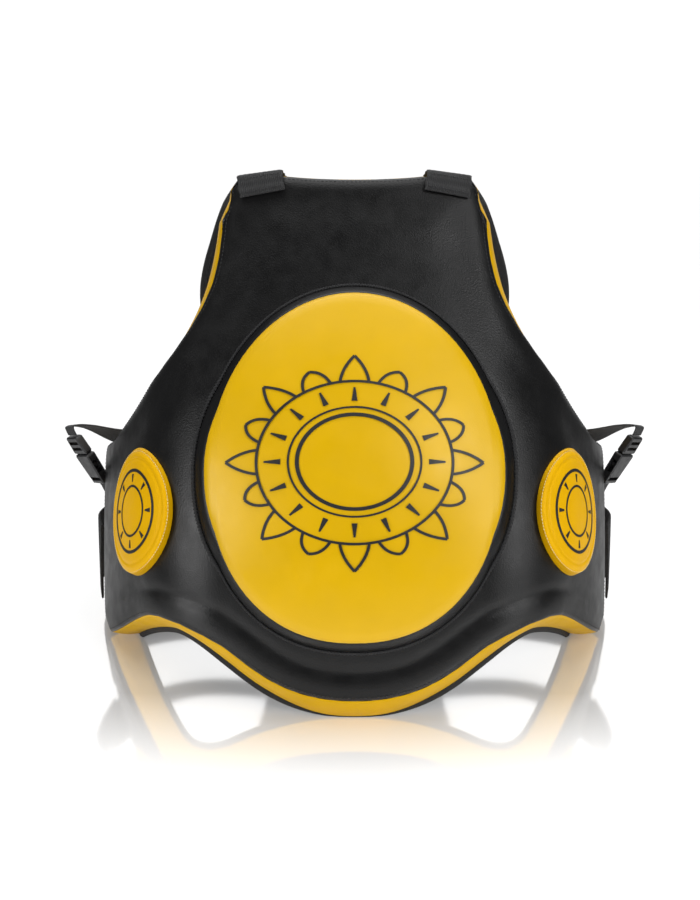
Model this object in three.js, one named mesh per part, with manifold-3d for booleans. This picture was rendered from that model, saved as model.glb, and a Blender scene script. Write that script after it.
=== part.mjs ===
// A trainer's belly pad: a padded front panel that wraps round the wearer's sides, with a raised
// belly target, two round side targets, a shoulder harness, two side-release buckles and a hook-and-loop
// waist belt. It stands on its front tip and its two rear corners, leaning back.
//
// Lengths are in millimetres. +Z is up, the front faces -Y and +X is the right of the front view.
// The panel is laid out as a flat pattern: s runs across from the centre line, h runs up from the tip,
// and t is the distance out from the lining. bodyPoint() bends that pattern round the wearer.

import * as THREE from 'three';
import Module from 'manifold-3d';
import { mergeVertices } from 'three/addons/utils/BufferGeometryUtils.js';

// ---------------------------------------------------------------- driving dimensions

const LEAN = THREE.MathUtils.degToRad(26);   // how far the panel leans back
const FLATTENED = 3.4;                       // how far the binding is pressed flat where it meets the floor
const GAP = 0.3;                             // between flat faces that touch
const LAYER_GAP = 1.5;                       // between curved layers, which are faceted differently
const FOAM_EASE = 3.4;                       // between the foam's edge and the gusset

// Plan view of the lining's back face, from the centre line outwards: tangent runs.
const PLAN = [
  { length: 124, turn: THREE.MathUtils.degToRad(8) },
  { length: 68, turn: THREE.MathUtils.degToRad(49) },
  { length: 150, turn: THREE.MathUtils.degToRad(13.5) },
  { length: 400, turn: 0 },
];
const BELLY_DEPTH = 32;                      // how far the belly stands forward of the tip and the chest
const PANEL_HEIGHT = 553;                    // pattern height that the bulge is spread over
const WING_REACH = 350;                      // pattern distance from the centre line to a wing's rear edge
const WING_MIDDLE = 190;                     // height of the middle of a wing's rear edge

const LINING = { from: 0, to: 2.5 };
const SOFT_FOAM = { from: 3.8, to: 13.8 };
const FIRM_FOAM = { from: 14.6, to: 35.8 };
const COVER = { from: 37.5, to: 40 };
const BINDING = { width: 3, height: 6 };
const GUSSET_EASE = 0.6;                     // how far in the gusset's foot is from the lining's edge
const GUSSET_THICKNESS = 2.5;

const BELLY = { height: 243, halfWidth: 131, up: 171, down: 165, skirt: 12, wall: 14, dome: 17, skin: 2.5, seam: 6 };
// The side targets lie over the bend, so their places across are measured on the cover's face.
const TARGET = { across: 243, height: 204.5, radius: 62, foam: 2, wedge: 3.5, dome: 3.5, skin: 2, seam: 4 };

const WEBBING = { wide: 50, narrow: 25, thickness: 2 };
const STRAP = { width: 60, thickness: 12, across: 93, fold: 32, slant: 0.14 };
const YOKE = { halfWidth: 135, bottom: 165, top: 265, thickness: 12, depth: 322 };
const BELT = { bottom: 26, height: 80, thickness: 3, depth: 338 };

const HALF_COLUMNS = 24;
const ROWS = 6;

// ---------------------------------------------------------------- solids from points

function solid(points, triangles) {
  const geometry = new THREE.BufferGeometry();
  geometry.setAttribute('position', new THREE.Float32BufferAttribute(points.flatMap((p) => p.toArray()), 3));
  geometry.setIndex(triangles.flat());
  const welded = mergeVertices(geometry, 1e-3);
  const corners = welded.index.array;
  const kept = [];
  for (let i = 0; i < corners.length; i += 3) {
    const [a, b, c] = corners.slice(i, i + 3);
    if (a !== b && b !== c && c !== a) kept.push([a, b, c]);
  }
  const at = (i) => new THREE.Vector3().fromBufferAttribute(welded.attributes.position, i);
  const volume = kept.reduce((sum, [a, b, c]) => sum + at(a).dot(at(b).cross(at(c))), 0);
  welded.setIndex((volume < 0 ? kept.map(([a, b, c]) => [a, c, b]) : kept).flat());
  return welded;
}

// The solid between two surfaces given over the same (u, v) square.
function slab(front, back, columns, rows) {
  const points = [];
  for (const surface of [front, back]) {
    for (let j = 0; j <= rows; j++) {
      for (let i = 0; i <= columns; i++) points.push(surface(i / columns, j / rows));
    }
  }
  const layer = (columns + 1) * (rows + 1);
  const at = (i, j) => j * (columns + 1) + i;
  const triangles = [];
  const quad = (a, b, c, d) => triangles.push([a, b, c], [a, c, d]);
  for (let j = 0; j < rows; j++) {
    for (let i = 0; i < columns; i++) {
      const [a, b, c, d] = [at(i, j), at(i + 1, j), at(i + 1, j + 1), at(i, j + 1)];
      triangles.push([a, b, c], [a, c, d]);
      triangles.push([layer + a, layer + c, layer + b], [layer + a, layer + d, layer + c]);
    }
  }
  const rim = [];
  for (let i = 0; i < columns; i++) rim.push(at(i, 0));
  for (let j = 0; j < rows; j++) rim.push(at(columns, j));
  for (let i = columns; i > 0; i--) rim.push(at(i, rows));
  for (let j = rows; j > 0; j--) rim.push(at(0, j));
  rim.forEach((a, k) => {
    const b = rim[(k + 1) % rim.length];
    quad(b, a, layer + a, layer + b);
  });
  return solid(points, triangles);
}

// A section carried round a loop, or along a run with capped ends.
function sweep(sections, closed) {
  const size = sections[0].length;
  const triangles = [];
  const stations = closed ? sections.length : sections.length - 1;
  for (let k = 0; k < stations; k++) {
    const next = (k + 1) % sections.length;
    for (let j = 0; j < size; j++) {
      const over = (j + 1) % size;
      triangles.push([k * size + j, next * size + j, next * size + over]);
      triangles.push([k * size + j, next * size + over, k * size + over]);
    }
  }
  if (!closed) {
    const last = (sections.length - 1) * size;
    for (let j = 1; j < size - 1; j++) {
      triangles.push([0, j, j + 1]);
      triangles.push([last, last + j + 1, last + j]);
    }
  }
  return solid(sections.flat(), triangles);
}

// A disc between two surfaces given over (angle, radius 0 to 1).
function disc(front, back, spokes, rings) {
  const turn = (surface) => (u, v) => surface(u * 2 * Math.PI, v);
  const points = [];
  for (const surface of [turn(front), turn(back)]) {
    for (let j = rings; j >= 0; j--) {
      for (let i = 0; i < spokes; i++) points.push(surface(i / spokes, j / rings));
    }
  }
  const layer = spokes * (rings + 1);
  const triangles = [];
  const quad = (a, b, c, d) => triangles.push([a, b, c], [a, c, d]);
  for (let i = 0; i < spokes; i++) {
    const n = (i + 1) % spokes;
    for (let j = 0; j < rings; j++) {
      const [a, b] = [j * spokes, (j + 1) * spokes];
      triangles.push([a + i, a + n, b + n], [a + i, b + n, b + i]);
      triangles.push([layer + a + i, layer + b + n, layer + a + n], [layer + a + i, layer + b + i, layer + b + n]);
    }
    quad(n, i, layer + i, layer + n);
  }
  return solid(points, triangles);
}

// The left-hand copy of a right-hand piece.
function mirrored(geometry) {
  const copy = geometry.clone().scale(-1, 1, 1);
  const corners = Array.from(copy.index.array);
  for (let i = 0; i < corners.length; i += 3) {
    [corners[i], corners[i + 1]] = [corners[i + 1], corners[i]];
  }
  return copy.setIndex(corners);
}

const wasm = await Module();
wasm.setup();

function toManifold(geometry) {
  const bare = geometry.clone();
  bare.deleteAttribute('normal');
  bare.deleteAttribute('uv');
  const merged = mergeVertices(bare, 1e-3);
  return new wasm.Manifold(new wasm.Mesh({
    numProp: 3,
    vertProperties: new Float32Array(merged.attributes.position.array),
    triVerts: new Uint32Array(merged.index.array),
  }));
}

function fromManifold(manifold) {
  const mesh = manifold.getMesh();
  const geometry = new THREE.BufferGeometry();
  geometry.setAttribute('position', new THREE.BufferAttribute(mesh.vertProperties, 3));
  geometry.setIndex(new THREE.BufferAttribute(mesh.triVerts, 1));
  return geometry;
}

// ---------------------------------------------------------------- the bent panel

const clamp01 = (value) => THREE.MathUtils.clamp(value, 0, 1);

function planPoint(s) {
  let [x, y, heading, left] = [0, 0, 0, Math.abs(s)];
  for (const { length, turn } of PLAN) {
    const run = Math.min(left, length);
    const next = heading + turn * run / length;
    if (turn === 0) {
      x += run * Math.cos(heading);
      y += run * Math.sin(heading);
    } else {
      x += length / turn * (Math.sin(next) - Math.sin(heading));
      y += length / turn * (Math.cos(heading) - Math.cos(next));
    }
    heading = next;
    left -= run;
  }
  return { x, y, heading };
}

// The panel's own frame, leant back and set down on the floor.
function stand(x, y, z) {
  const leant = new THREE.Vector3(x, y, z).applyAxisAngle(new THREE.Vector3(1, 0, 0), -LEAN);
  return leant.setZ(Math.max(0, leant.z - FLATTENED));
}

function bodyPoint(s, h, t) {
  const { x, y, heading } = planPoint(s);
  const bulge = BELLY_DEPTH * Math.sin(Math.PI * clamp01(h / PANEL_HEIGHT) ** 0.75) ** 2;
  return stand(Math.sign(s) * (x + t * Math.sin(heading)), y - t * Math.cos(heading) - bulge, h);
}

// Right half of the outline, from the centre line to the middle of the wing's rear edge.
function bottomHalf() {
  const path = new THREE.Path();
  path.moveTo(0, 0);
  path.bezierCurveTo(113, 0, 130, 81, 195, 81);
  path.bezierCurveTo(240, 81, 288, 72, 312, 67.5);
  path.lineTo(340, 80.4);
  path.quadraticCurveTo(WING_REACH, 85, WING_REACH, 106);
  path.lineTo(WING_REACH, WING_MIDDLE);
  return path.getSpacedPoints(HALF_COLUMNS);
}

function topHalf() {
  const path = new THREE.Path();
  path.moveTo(0, 540);
  path.quadraticCurveTo(35, 540, 66, 544);
  path.quadraticCurveTo(92, 545, 112, 540);
  path.quadraticCurveTo(126, 536, 129.5, 525);
  path.lineTo(139, 500);
  path.bezierCurveTo(147, 440, 160, 388, 201, 353);
  path.bezierCurveTo(252, 320, 286, 305, 322, 297);
  path.quadraticCurveTo(WING_REACH, 290, WING_REACH, 262);
  path.lineTo(WING_REACH, WING_MIDDLE);
  return path.getSpacedPoints(HALF_COLUMNS);
}

function wholeEdge(half) {
  const mirrored = half.slice(1).reverse().map((p) => new THREE.Vector2(-p.x, p.y));
  return [...mirrored, ...half];
}

const lowerEdge = wholeEdge(bottomHalf());
const upperEdge = wholeEdge(topHalf());
// Once round the outline: along the bottom to the right, then along the top to the left.
const outline = [...lowerEdge, ...upperEdge.slice(1, -1).reverse()];

function inwards(k) {
  const before = outline[(k + outline.length - 1) % outline.length];
  const after = outline[(k + 1) % outline.length];
  return new THREE.Vector2(before.y - after.y, after.x - before.x).normalize();
}

// How far the cover's edge is set in from the lining's edge.
function bevelAt({ x, y }) {
  const { lerp, smoothstep } = THREE.MathUtils;
  const across = Math.abs(x);
  const bottom = lerp(18, 7, smoothstep(across, 180, 290));
  const neck = lerp(18, 11, smoothstep(y, 420, 520));
  const side = lerp(bottom, neck, smoothstep(y, 110, 300));
  const top = lerp(side, 3, smoothstep(y, 522, 539));
  return lerp(top, 9, smoothstep(across, 290, 345));
}

function insetPoint(k, inset) {
  return outline[k].clone().addScaledVector(inwards(k), inset);
}

// How far in the gusset's outer face is at a distance t from the lining.
function gussetInset(k, t) {
  const share = (t - BINDING.height) / (COVER.to - BINDING.height);
  return THREE.MathUtils.lerp(GUSSET_EASE, bevelAt(outline[k]), clamp01(share));
}

function panelSurface(insetAt, t) {
  const last = lowerEdge.length - 1;
  const place = (k) => insetPoint(k, insetAt(k));
  return (u, v) => {
    const i = Math.round(u * last);
    const low = place(i);
    const high = place((outline.length - i) % outline.length);
    const point = (i === 0 || i === last) ? place(i) : low.lerp(high, v);
    return bodyPoint(point.x, point.y, t);
  };
}

function panelLayer({ from, to }, insetAt) {
  const front = panelSurface((k) => insetAt(k, to), to);
  const back = panelSurface((k) => insetAt(k, from), from);
  return slab(front, back, lowerEdge.length - 1, ROWS);
}

function edgeRing(section) {
  return sweep(outline.map((_, k) => section(k).map(([inset, t]) => {
    const point = insetPoint(k, inset);
    return bodyPoint(point.x, point.y, t);
  })), true);
}

const insideBinding = () => BINDING.width + LAYER_GAP;
const insideGusset = (k, t) => Math.max(insideBinding(), gussetInset(k, t) + GUSSET_THICKNESS + FOAM_EASE);

// ---------------------------------------------------------------- belly target

function bellyPoint(angle, share, grow, t) {
  const [across, up] = [Math.cos(angle), Math.sin(angle)];
  const fullness = up < 0 ? 0.9 : 1;
  const reach = (up < 0 ? BELLY.down : BELLY.up) + grow;
  const s = Math.sign(across) * Math.abs(across) ** fullness * (BELLY.halfWidth + grow) * share;
  const h = BELLY.height + Math.sign(up) * Math.abs(up) ** fullness * reach * share;
  return bodyPoint(s, h, t);
}

const BELLY_BASE = COVER.to + LAYER_GAP;
const BELLY_RIM = BELLY_BASE + BELLY.wall;
const BELLY_SPOKES = 36;
const bellyDome = (share) => BELLY.dome * (1 - share ** 2.4);

function bellyCover() {
  const front = (a, r) => bellyPoint(a, r, 0, BELLY_RIM + GAP + BELLY.skin + bellyDome(r));
  const back = (a, r) => bellyPoint(a, r, 0, BELLY_RIM + GAP + bellyDome(r));
  return disc(front, back, BELLY_SPOKES, 4);
}

function bellyFoam() {
  const front = (a, r) => bellyPoint(a, r, -BELLY.seam, BELLY_RIM - 1 + bellyDome(r));
  const back = (a, r) => bellyPoint(a, r, -BELLY.seam, BELLY_BASE);
  return disc(front, back, BELLY_SPOKES, 4);
}

function bellyWall() {
  const inner = 2 - BELLY.seam;
  const section = [[BELLY.skirt, BELLY_BASE], [0, BELLY_RIM], [inner, BELLY_RIM], [inner, BELLY_BASE]];
  const stations = [];
  for (let i = 0; i < BELLY_SPOKES; i++) {
    const angle = 2 * Math.PI * i / BELLY_SPOKES;
    stations.push(section.map(([grow, t]) => bellyPoint(angle, 1, grow, t)));
  }
  return sweep(stations, true);
}

// ---------------------------------------------------------------- side targets

const TARGET_SPOKES = 24;
const TARGET_RINGS = 3;

// The flat pattern's s at a distance across that is measured along the surface t away from the lining.
function acrossSurface(distance, t) {
  let s = distance;
  for (let step = 0; step < 30; step++) s = distance - t * planPoint(s).heading;
  return s;
}

// Each target is a wedge: its lower edge stands further out than its upper edge.
const wedge = (angle, share) => TARGET.wedge * (1 - Math.sin(angle) * share);

function targetPoint(angle, radius, t) {
  const s = acrossSurface(TARGET.across + radius * Math.cos(angle), t);
  return bodyPoint(s, TARGET.height + radius * Math.sin(angle), t);
}

function targetFoam() {
  const base = COVER.to + LAYER_GAP;
  const reach = TARGET.radius - TARGET.seam;
  const front = (a, r) => targetPoint(a, r * reach, base + TARGET.foam + wedge(a, r));
  const back = (a, r) => targetPoint(a, r * reach, base);
  return disc(front, back, TARGET_SPOKES, TARGET_RINGS);
}

function targetCover() {
  const base = COVER.to + 2 * LAYER_GAP + TARGET.foam;
  const dome = (r) => TARGET.skin + TARGET.dome * (1 - r ** 4);
  const front = (a, r) => targetPoint(a, r * TARGET.radius, base + wedge(a, r) + dome(r));
  const back = (a, r) => targetPoint(a, r * TARGET.radius, base + wedge(a, r));
  return disc(front, back, TARGET_SPOKES, TARGET_RINGS);
}

// ---------------------------------------------------------------- bands: straps, webbing and belt

const point3 = (x, y, z) => new THREE.Vector3(x, y, z);

// A flat band along a curve. across(u) gives the direction of its width.
function band({ curve, width, thickness, across, steps, crown = 0 }) {
  const stations = [];
  for (let i = 0; i <= steps; i++) {
    const u = i / steps;
    const along = curve.getTangentAt(u);
    const side = across(u).clone().projectOnPlane(along).normalize();
    const out = new THREE.Vector3().crossVectors(along, side);
    const half = width / 2;
    const edge = thickness / 2 - crown;
    const section = crown > 0
      ? [[-half, -edge], [-half * 0.6, -thickness / 2], [half * 0.6, -thickness / 2], [half, -edge],
        [half, edge], [half * 0.6, thickness / 2], [-half * 0.6, thickness / 2], [-half, edge]]
      : [[-half, -edge], [half, -edge], [half, edge], [-half, edge]];
    stations.push(section.map(([w, o]) => curve.getPointAt(u).addScaledVector(side, w).addScaledVector(out, o)));
  }
  return sweep(stations, false);
}

const smoothCurve = (points) => new THREE.CatmullRomCurve3(points, false, 'centripetal');

// The webbing end that is folded over the panel's top edge and sewn down.
function strapAnchor() {
  const over = (h, t) => bodyPoint(STRAP.across + STRAP.slant * h, PANEL_HEIGHT + h, t);
  const face = COVER.to + 2.8;
  const curve = smoothCurve([
    over(-STRAP.fold, face),
    over(-22, face),
    over(-13, COVER.to + 2.6),
    over(-9, COVER.to + 0.5),
    over(-7, 34),
    over(-6.5, 20),
    over(-6, 8),
    over(-6.5, 1),
    over(-12, -4.5),
  ]);
  const across = () => point3(1, 0.07, -STRAP.slant);
  return band({ curve, width: WEBBING.wide, thickness: WEBBING.thickness, across, steps: 12 });
}

// The padded shoulder strap hangs down behind the panel, flaring outwards, to the yoke.
function shoulderStrap() {
  const start = bodyPoint(STRAP.across, PANEL_HEIGHT, -STRAP.thickness);
  const curve = smoothCurve([
    point3(STRAP.across + 3, start.y + 4, start.z - 14),
    point3(114, 283, 448),
    point3(131, 296, 405),
    point3(144, 304, 360),
    point3(142, 311, 315),
    point3(120, YOKE.depth - 4, YOKE.top + 8),
  ]);
  const across = (u) => point3(1, 0, THREE.MathUtils.lerp(0.2, -0.3, u));
  const { width, thickness } = STRAP;
  return band({ curve, width, thickness, across, steps: 14, crown: 4 });
}

function backYoke() {
  const half = (v) => YOKE.halfWidth * THREE.MathUtils.lerp(0.8, 1, v);
  const surface = (sign) => (u, v) => {
    const x = (2 * u - 1) * half(v);
    const rim = Math.min(1, 6 * Math.min(u, 1 - u), 5 * Math.min(v, 1 - v));
    const swell = THREE.MathUtils.lerp(YOKE.thickness / 4, YOKE.thickness / 2, rim);
    const dip = 8 * (1 - (2 * u - 1) ** 2) * v;
    return point3(x, YOKE.depth + sign * swell, THREE.MathUtils.lerp(YOKE.bottom, YOKE.top - dip, v));
  };
  return slab(surface(-1), surface(1), 12, 6);
}

// ---------------------------------------------------------------- side-release buckles

// The buckle's own frame: +Z from the socket to the plug, X across, Y through; the socket's mouth is at z = 0.
const BUCKLE = {
  centre: point3(306, 241, 185),
  axis: point3(0.46, 0, 0.888).normalize(),
  face: point3(0.8, -0.6, 0),
  width: 34,
  thickness: 11,
  socket: 30,
  bar: 9,
  plug: 23,
  wall: 2.4,
  prong: 21,
  release: 26,
};

function buckleMatrix(side) {
  const up = point3(side * BUCKLE.axis.x, BUCKLE.axis.y, BUCKLE.axis.z);
  const face = point3(side * BUCKLE.face.x, BUCKLE.face.y, BUCKLE.face.z).projectOnPlane(up).normalize();
  const across = new THREE.Vector3().crossVectors(face.clone().negate(), up);
  return new THREE.Matrix4()
    .makeBasis(across, face.clone().negate(), up)
    .setPosition(side * BUCKLE.centre.x, BUCKLE.centre.y, BUCKLE.centre.z);
}

const buckleSpot = (x, y, z) => point3(x, y, z).applyMatrix4(buckleMatrix(1));
// The direction across the webbing where it enters the right-hand buckle.
const BUCKLE_ACROSS = point3(0.57, 0.767, -0.295);

function box(width, thickness, low, high, x = 0, y = 0) {
  const geometry = new THREE.BoxGeometry(width, thickness, high - low);
  geometry.translate(x, y, (low + high) / 2);
  return geometry;
}

function roundedPlate(halfLow, halfHigh, low, high, thickness, bevel) {
  const corner = 3;
  const outlineShape = new THREE.Shape();
  outlineShape.moveTo(-halfLow + corner, low);
  outlineShape.lineTo(halfLow - corner, low);
  outlineShape.quadraticCurveTo(halfLow, low, halfLow, low + corner);
  outlineShape.lineTo(halfHigh, high - corner);
  outlineShape.quadraticCurveTo(halfHigh, high, halfHigh - corner, high);
  outlineShape.lineTo(-halfHigh + corner, high);
  outlineShape.quadraticCurveTo(-halfHigh, high, -halfHigh, high - corner);
  outlineShape.lineTo(-halfLow, low + corner);
  outlineShape.quadraticCurveTo(-halfLow, low, -halfLow + corner, low);
  const geometry = new THREE.ExtrudeGeometry(outlineShape, {
    depth: thickness - 2 * bevel,
    bevelEnabled: true,
    bevelThickness: bevel,
    bevelSize: bevel,
    bevelOffset: -bevel,
    bevelSegments: 1,
    curveSegments: 3,
  });
  geometry.translate(0, 0, -thickness / 2 + bevel);
  geometry.rotateX(Math.PI / 2);
  return geometry;
}

const cut = (from, ...pieces) => pieces.reduce((left, piece) => left.subtract(toManifold(piece)), toManifold(from));

function buckleSocket() {
  const half = BUCKLE.width / 2;
  const { socket, bar, thickness, wall } = BUCKLE;
  const body = roundedPlate(half - 3, half, -socket - bar, 0, thickness, 1.5);
  const inner = BUCKLE.width - 2 * wall;
  const cavity = box(inner, thickness - 2 * wall, -socket + 3, 1);
  const windows = box(BUCKLE.width + 2, thickness - 2 * wall, -socket + 5, -9);
  const webbingSlot = box(WEBBING.narrow + 1, thickness + 2, -socket - 4.5, -socket);
  return fromManifold(cut(body, cavity, windows, webbingSlot));
}

function bucklePlug() {
  const half = BUCKLE.width / 2;
  const { plug, thickness } = BUCKLE;
  const frame = roundedPlate(half, half - 2, 0.5, plug, thickness - 2, 1.5);
  const slots = [6, 13.5].map((low) => box(WEBBING.narrow + 1, thickness, low, low + 4));
  const tongue = box(5, 3, -BUCKLE.socket + 8, 1.5);
  return fromManifold(cut(frame, ...slots).add(toManifold(tongue)));
}

// A spring arm: it bends about its root, at the socket's mouth.
function buckleProng(hand) {
  const shape = new THREE.Shape();
  const root = -0.4;
  shape.moveTo(6.5, root);
  shape.lineTo(10, root);
  shape.lineTo(11, -11);
  shape.lineTo(14, -13);
  shape.lineTo(14, -17);
  shape.lineTo(9.5, -BUCKLE.prong);
  shape.lineTo(7.5, -BUCKLE.prong);
  shape.lineTo(7, -11);
  const geometry = new THREE.ExtrudeGeometry(shape, { depth: 4, bevelEnabled: false });
  geometry.translate(0, 0, -2);
  geometry.rotateX(Math.PI / 2);
  if (hand < 0) geometry.rotateZ(Math.PI);
  return geometry;
}

// The point of a wing's rear edge at a height above the floor.
function wingRear(z) {
  const rear = (h) => bodyPoint(WING_REACH, h, COVER.to / 2);
  let h = WING_MIDDLE;
  for (let step = 0; step < 8; step++) h += (z - rear(h).z) / Math.cos(LEAN);
  return rear(h);
}

// The short webbing tab that ties the socket's bar to the wing's rear edge.
function buckleTab() {
  const low = BUCKLE.socket + BUCKLE.bar;
  const curve = smoothCurve([
    buckleSpot(0, 0, -low - 1.5),
    buckleSpot(0, 0.3, -low - 6),
    point3(279, wingRear(132).y + 8, 132),
    point3(267, wingRear(126).y + 3.6, 126),
  ]);
  const wing = point3(0.1, 0.4, 0.9);
  const across = (u) => BUCKLE_ACROSS.clone().lerp(wing, u * u);
  return band({ curve, width: WEBBING.narrow - 2, thickness: WEBBING.thickness, across, steps: 12 });
}

// The webbing from the plug's ladder over to the yoke.
function sideWebbing() {
  const behindYoke = YOKE.depth + YOKE.thickness / 2 + 2.4;
  const curve = smoothCurve([
    buckleSpot(0, 0, BUCKLE.plug + 1.2),
    buckleSpot(0, 2, BUCKLE.plug + 11),
    point3(301, 259, 210),
    point3(275, 289, 188),
    point3(242, 310, 179),
    point3(203, 322, 177),
    point3(150, behindYoke, 182),
    point3(96, behindYoke, 188),
  ]);
  const yokeEnd = point3(0, 0, -1);
  const across = (u) => BUCKLE_ACROSS.clone().lerp(yokeEnd, THREE.MathUtils.smoothstep(u, 0, 0.6));
  return band({ curve, width: WEBBING.narrow, thickness: WEBBING.thickness, across, steps: 24 });
}

// ---------------------------------------------------------------- waist belt

// Plan route of the belt from a wing's rear edge to the middle of the back.
const beltRoute = new THREE.CatmullRomCurve3([
  point3(286, 236, 0),
  point3(296, 262, 0),
  point3(276, 300, 0),
  point3(208, 326, 0),
  point3(110, BELT.depth - 2, 0),
  point3(0, BELT.depth, 0),
  point3(-110, BELT.depth - 2, 0),
  point3(-208, 326, 0),
], false, 'centripetal');

const HOOK = { thickness: 1.2, from: 0.535, to: 0.785 };
const BELT_HINGE = 0.52;                     // share of the route where the flap lifts from
const BELT_END = 0.8;                        // share of the route where each end stops
const BELT_LAYER = BELT.thickness + 2 * HOOK.thickness + 3 * GAP;

const innerLayer = () => 0;
const outerLayer = (share) => BELT_LAYER * THREE.MathUtils.smoothstep(share, 0.3, 0.43);
const BELT_CORNER = 0.13;                    // share of the route that follows the wing's slant

// The belt between two shares of its route; lift(share) moves it outwards, as a layer on top.
function beltPiece({ side, from, to, lift, thickness = BELT.thickness, low = 0, high = 1, columns = 16 }) {
  const start = beltRoute.getPointAt(0);
  const surface = (offset) => (u, v) => {
    const share = THREE.MathUtils.lerp(from, to, u);
    const point = beltRoute.getPointAt(share);
    const along = beltRoute.getTangentAt(share);
    point.addScaledVector(point3(along.y, -along.x, 0), lift(share) + offset);
    const z = BELT.bottom + BELT.height * THREE.MathUtils.lerp(low, high, v);
    const slant = (wingRear(z).y + 2 - start.y) * (1 - clamp01(share / BELT_CORNER)) ** 1.5;
    return point3(side * point.x, point.y + slant, z);
  };
  return slab(surface(0), surface(thickness), columns, 3);
}

// ---------------------------------------------------------------- materials and assembly

const finish = {
  cover: { color: 0x26272a, roughness: 0.42, metalness: 0 },
  yellow: { color: 0xe0ad10, roughness: 0.38, metalness: 0 },
  fabric: { color: 0x17181a, roughness: 0.9, metalness: 0 },
  webbing: { color: 0x141517, roughness: 0.8, metalness: 0 },
  foam: { color: 0x8d9096, roughness: 0.95, metalness: 0 },
  plastic: { color: 0x101113, roughness: 0.35, metalness: 0 },
  hook: { color: 0x1c1d1f, roughness: 1, metalness: 0 },
};

const vest = new THREE.Group();

function addPiece(name, geometry, look) {
  const mesh = new THREE.Mesh(geometry, new THREE.MeshStandardMaterial(finish[look]));
  mesh.name = name;
  vest.add(mesh);
  return mesh;
}

addPiece('lining', panelLayer(LINING, insideBinding), 'fabric');
addPiece('lining_binding', edgeRing(() => [
  [0, 0], [0, BINDING.height - 0.4], [BINDING.width, BINDING.height - 0.4], [BINDING.width, 0],
]), 'fabric');
addPiece('back_foam', panelLayer(SOFT_FOAM, insideGusset), 'foam');
addPiece('foam_core', panelLayer(FIRM_FOAM, insideGusset), 'foam');
addPiece('front_cover', panelLayer(COVER, gussetInset), 'cover');
addPiece('edge_gusset', edgeRing((k) => {
  const low = BINDING.height;
  const high = FIRM_FOAM.to;
  return [
    [gussetInset(k, low), low],
    [gussetInset(k, high), high],
    [gussetInset(k, high) + GUSSET_THICKNESS, high],
    [gussetInset(k, low) + GUSSET_THICKNESS, low],
  ];
}), 'yellow');

addPiece('belly_pad_wall', bellyWall(), 'cover');
addPiece('belly_pad_foam', bellyFoam(), 'foam');
addPiece('belly_pad_cover', bellyCover(), 'yellow');
addPiece('back_yoke', backYoke(), 'fabric');

const PAIRED = [
  ['side_target_foam', targetFoam(), 'foam'],
  ['side_target_cover', targetCover(), 'yellow'],
  ['strap_anchor', strapAnchor(), 'webbing'],
  ['shoulder_strap', shoulderStrap(), 'fabric'],
  ['side_webbing', sideWebbing(), 'webbing'],
  ['buckle_tab', buckleTab(), 'webbing'],
];

for (const [hand, side] of [['left', -1], ['right', 1]]) {
  for (const [name, right, look] of PAIRED) {
    addPiece(`${name}_${hand}`, side > 0 ? right : mirrored(right), look);
  }
  const plastic = [
    addPiece(`buckle_socket_${hand}`, buckleSocket(), 'plastic'),
    addPiece(`buckle_plug_${hand}`, bucklePlug(), 'plastic'),
    addPiece(`buckle_prong_front_${hand}`, buckleProng(-side), 'plastic'),
    addPiece(`buckle_prong_rear_${hand}`, buckleProng(side), 'plastic'),
  ];
  for (const mesh of plastic) mesh.applyMatrix4(buckleMatrix(side));
}

addPiece('belt_right', beltPiece({ side: 1, from: 0, to: BELT_END, lift: innerLayer, columns: 22 }), 'fabric');
addPiece('belt_left', beltPiece({ side: -1, from: 0, to: BELT_HINGE - 0.003, lift: outerLayer }), 'fabric');
addPiece('belt_flap', beltPiece({ side: -1, from: BELT_HINGE, to: BELT_END, lift: outerLayer, columns: 8 }), 'fabric');

const patch = { from: HOOK.from, to: HOOK.to, thickness: HOOK.thickness, low: 0.06, high: 0.94, columns: 8 };
addPiece('loop_patch', beltPiece({ ...patch, side: -1, lift: () => BELT.thickness + GAP }), 'hook');
addPiece('hook_patch', beltPiece({ ...patch, side: -1, lift: () => BELT_LAYER - HOOK.thickness - GAP }), 'hook');

// The origin is on the floor, under the middle of the whole.
const bounds = new THREE.Box3().setFromObject(vest);
const middle = bounds.getCenter(new THREE.Vector3());
vest.position.set(-middle.x, -middle.y, -bounds.min.z);

export default vest;
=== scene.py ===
import math

import bpy
import numpy as np
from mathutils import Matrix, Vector, noise


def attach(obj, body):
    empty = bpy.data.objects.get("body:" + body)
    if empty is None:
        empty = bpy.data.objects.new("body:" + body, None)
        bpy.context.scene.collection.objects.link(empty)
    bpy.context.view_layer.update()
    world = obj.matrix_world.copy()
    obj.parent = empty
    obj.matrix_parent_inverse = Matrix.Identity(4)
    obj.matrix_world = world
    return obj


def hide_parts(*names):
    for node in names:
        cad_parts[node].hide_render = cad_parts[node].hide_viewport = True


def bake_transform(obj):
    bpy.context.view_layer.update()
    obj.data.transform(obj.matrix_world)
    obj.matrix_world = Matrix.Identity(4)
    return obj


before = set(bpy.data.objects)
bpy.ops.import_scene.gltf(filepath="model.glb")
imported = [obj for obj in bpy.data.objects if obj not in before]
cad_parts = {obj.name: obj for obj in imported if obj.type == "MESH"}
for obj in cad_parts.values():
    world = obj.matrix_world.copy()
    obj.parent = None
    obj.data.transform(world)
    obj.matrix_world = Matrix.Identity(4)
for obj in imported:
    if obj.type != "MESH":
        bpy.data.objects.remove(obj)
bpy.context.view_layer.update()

# A trainer's belly pad, standing on its front tip and its two rear corners. All lengths are in metres.
# The panel is a flat pattern bent round the wearer: s runs across from the centre line, h runs up from
# the tip, and t is the distance out from the lining.

MM = 0.001

# ---------------------------------------------------------------- driving dimensions

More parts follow.
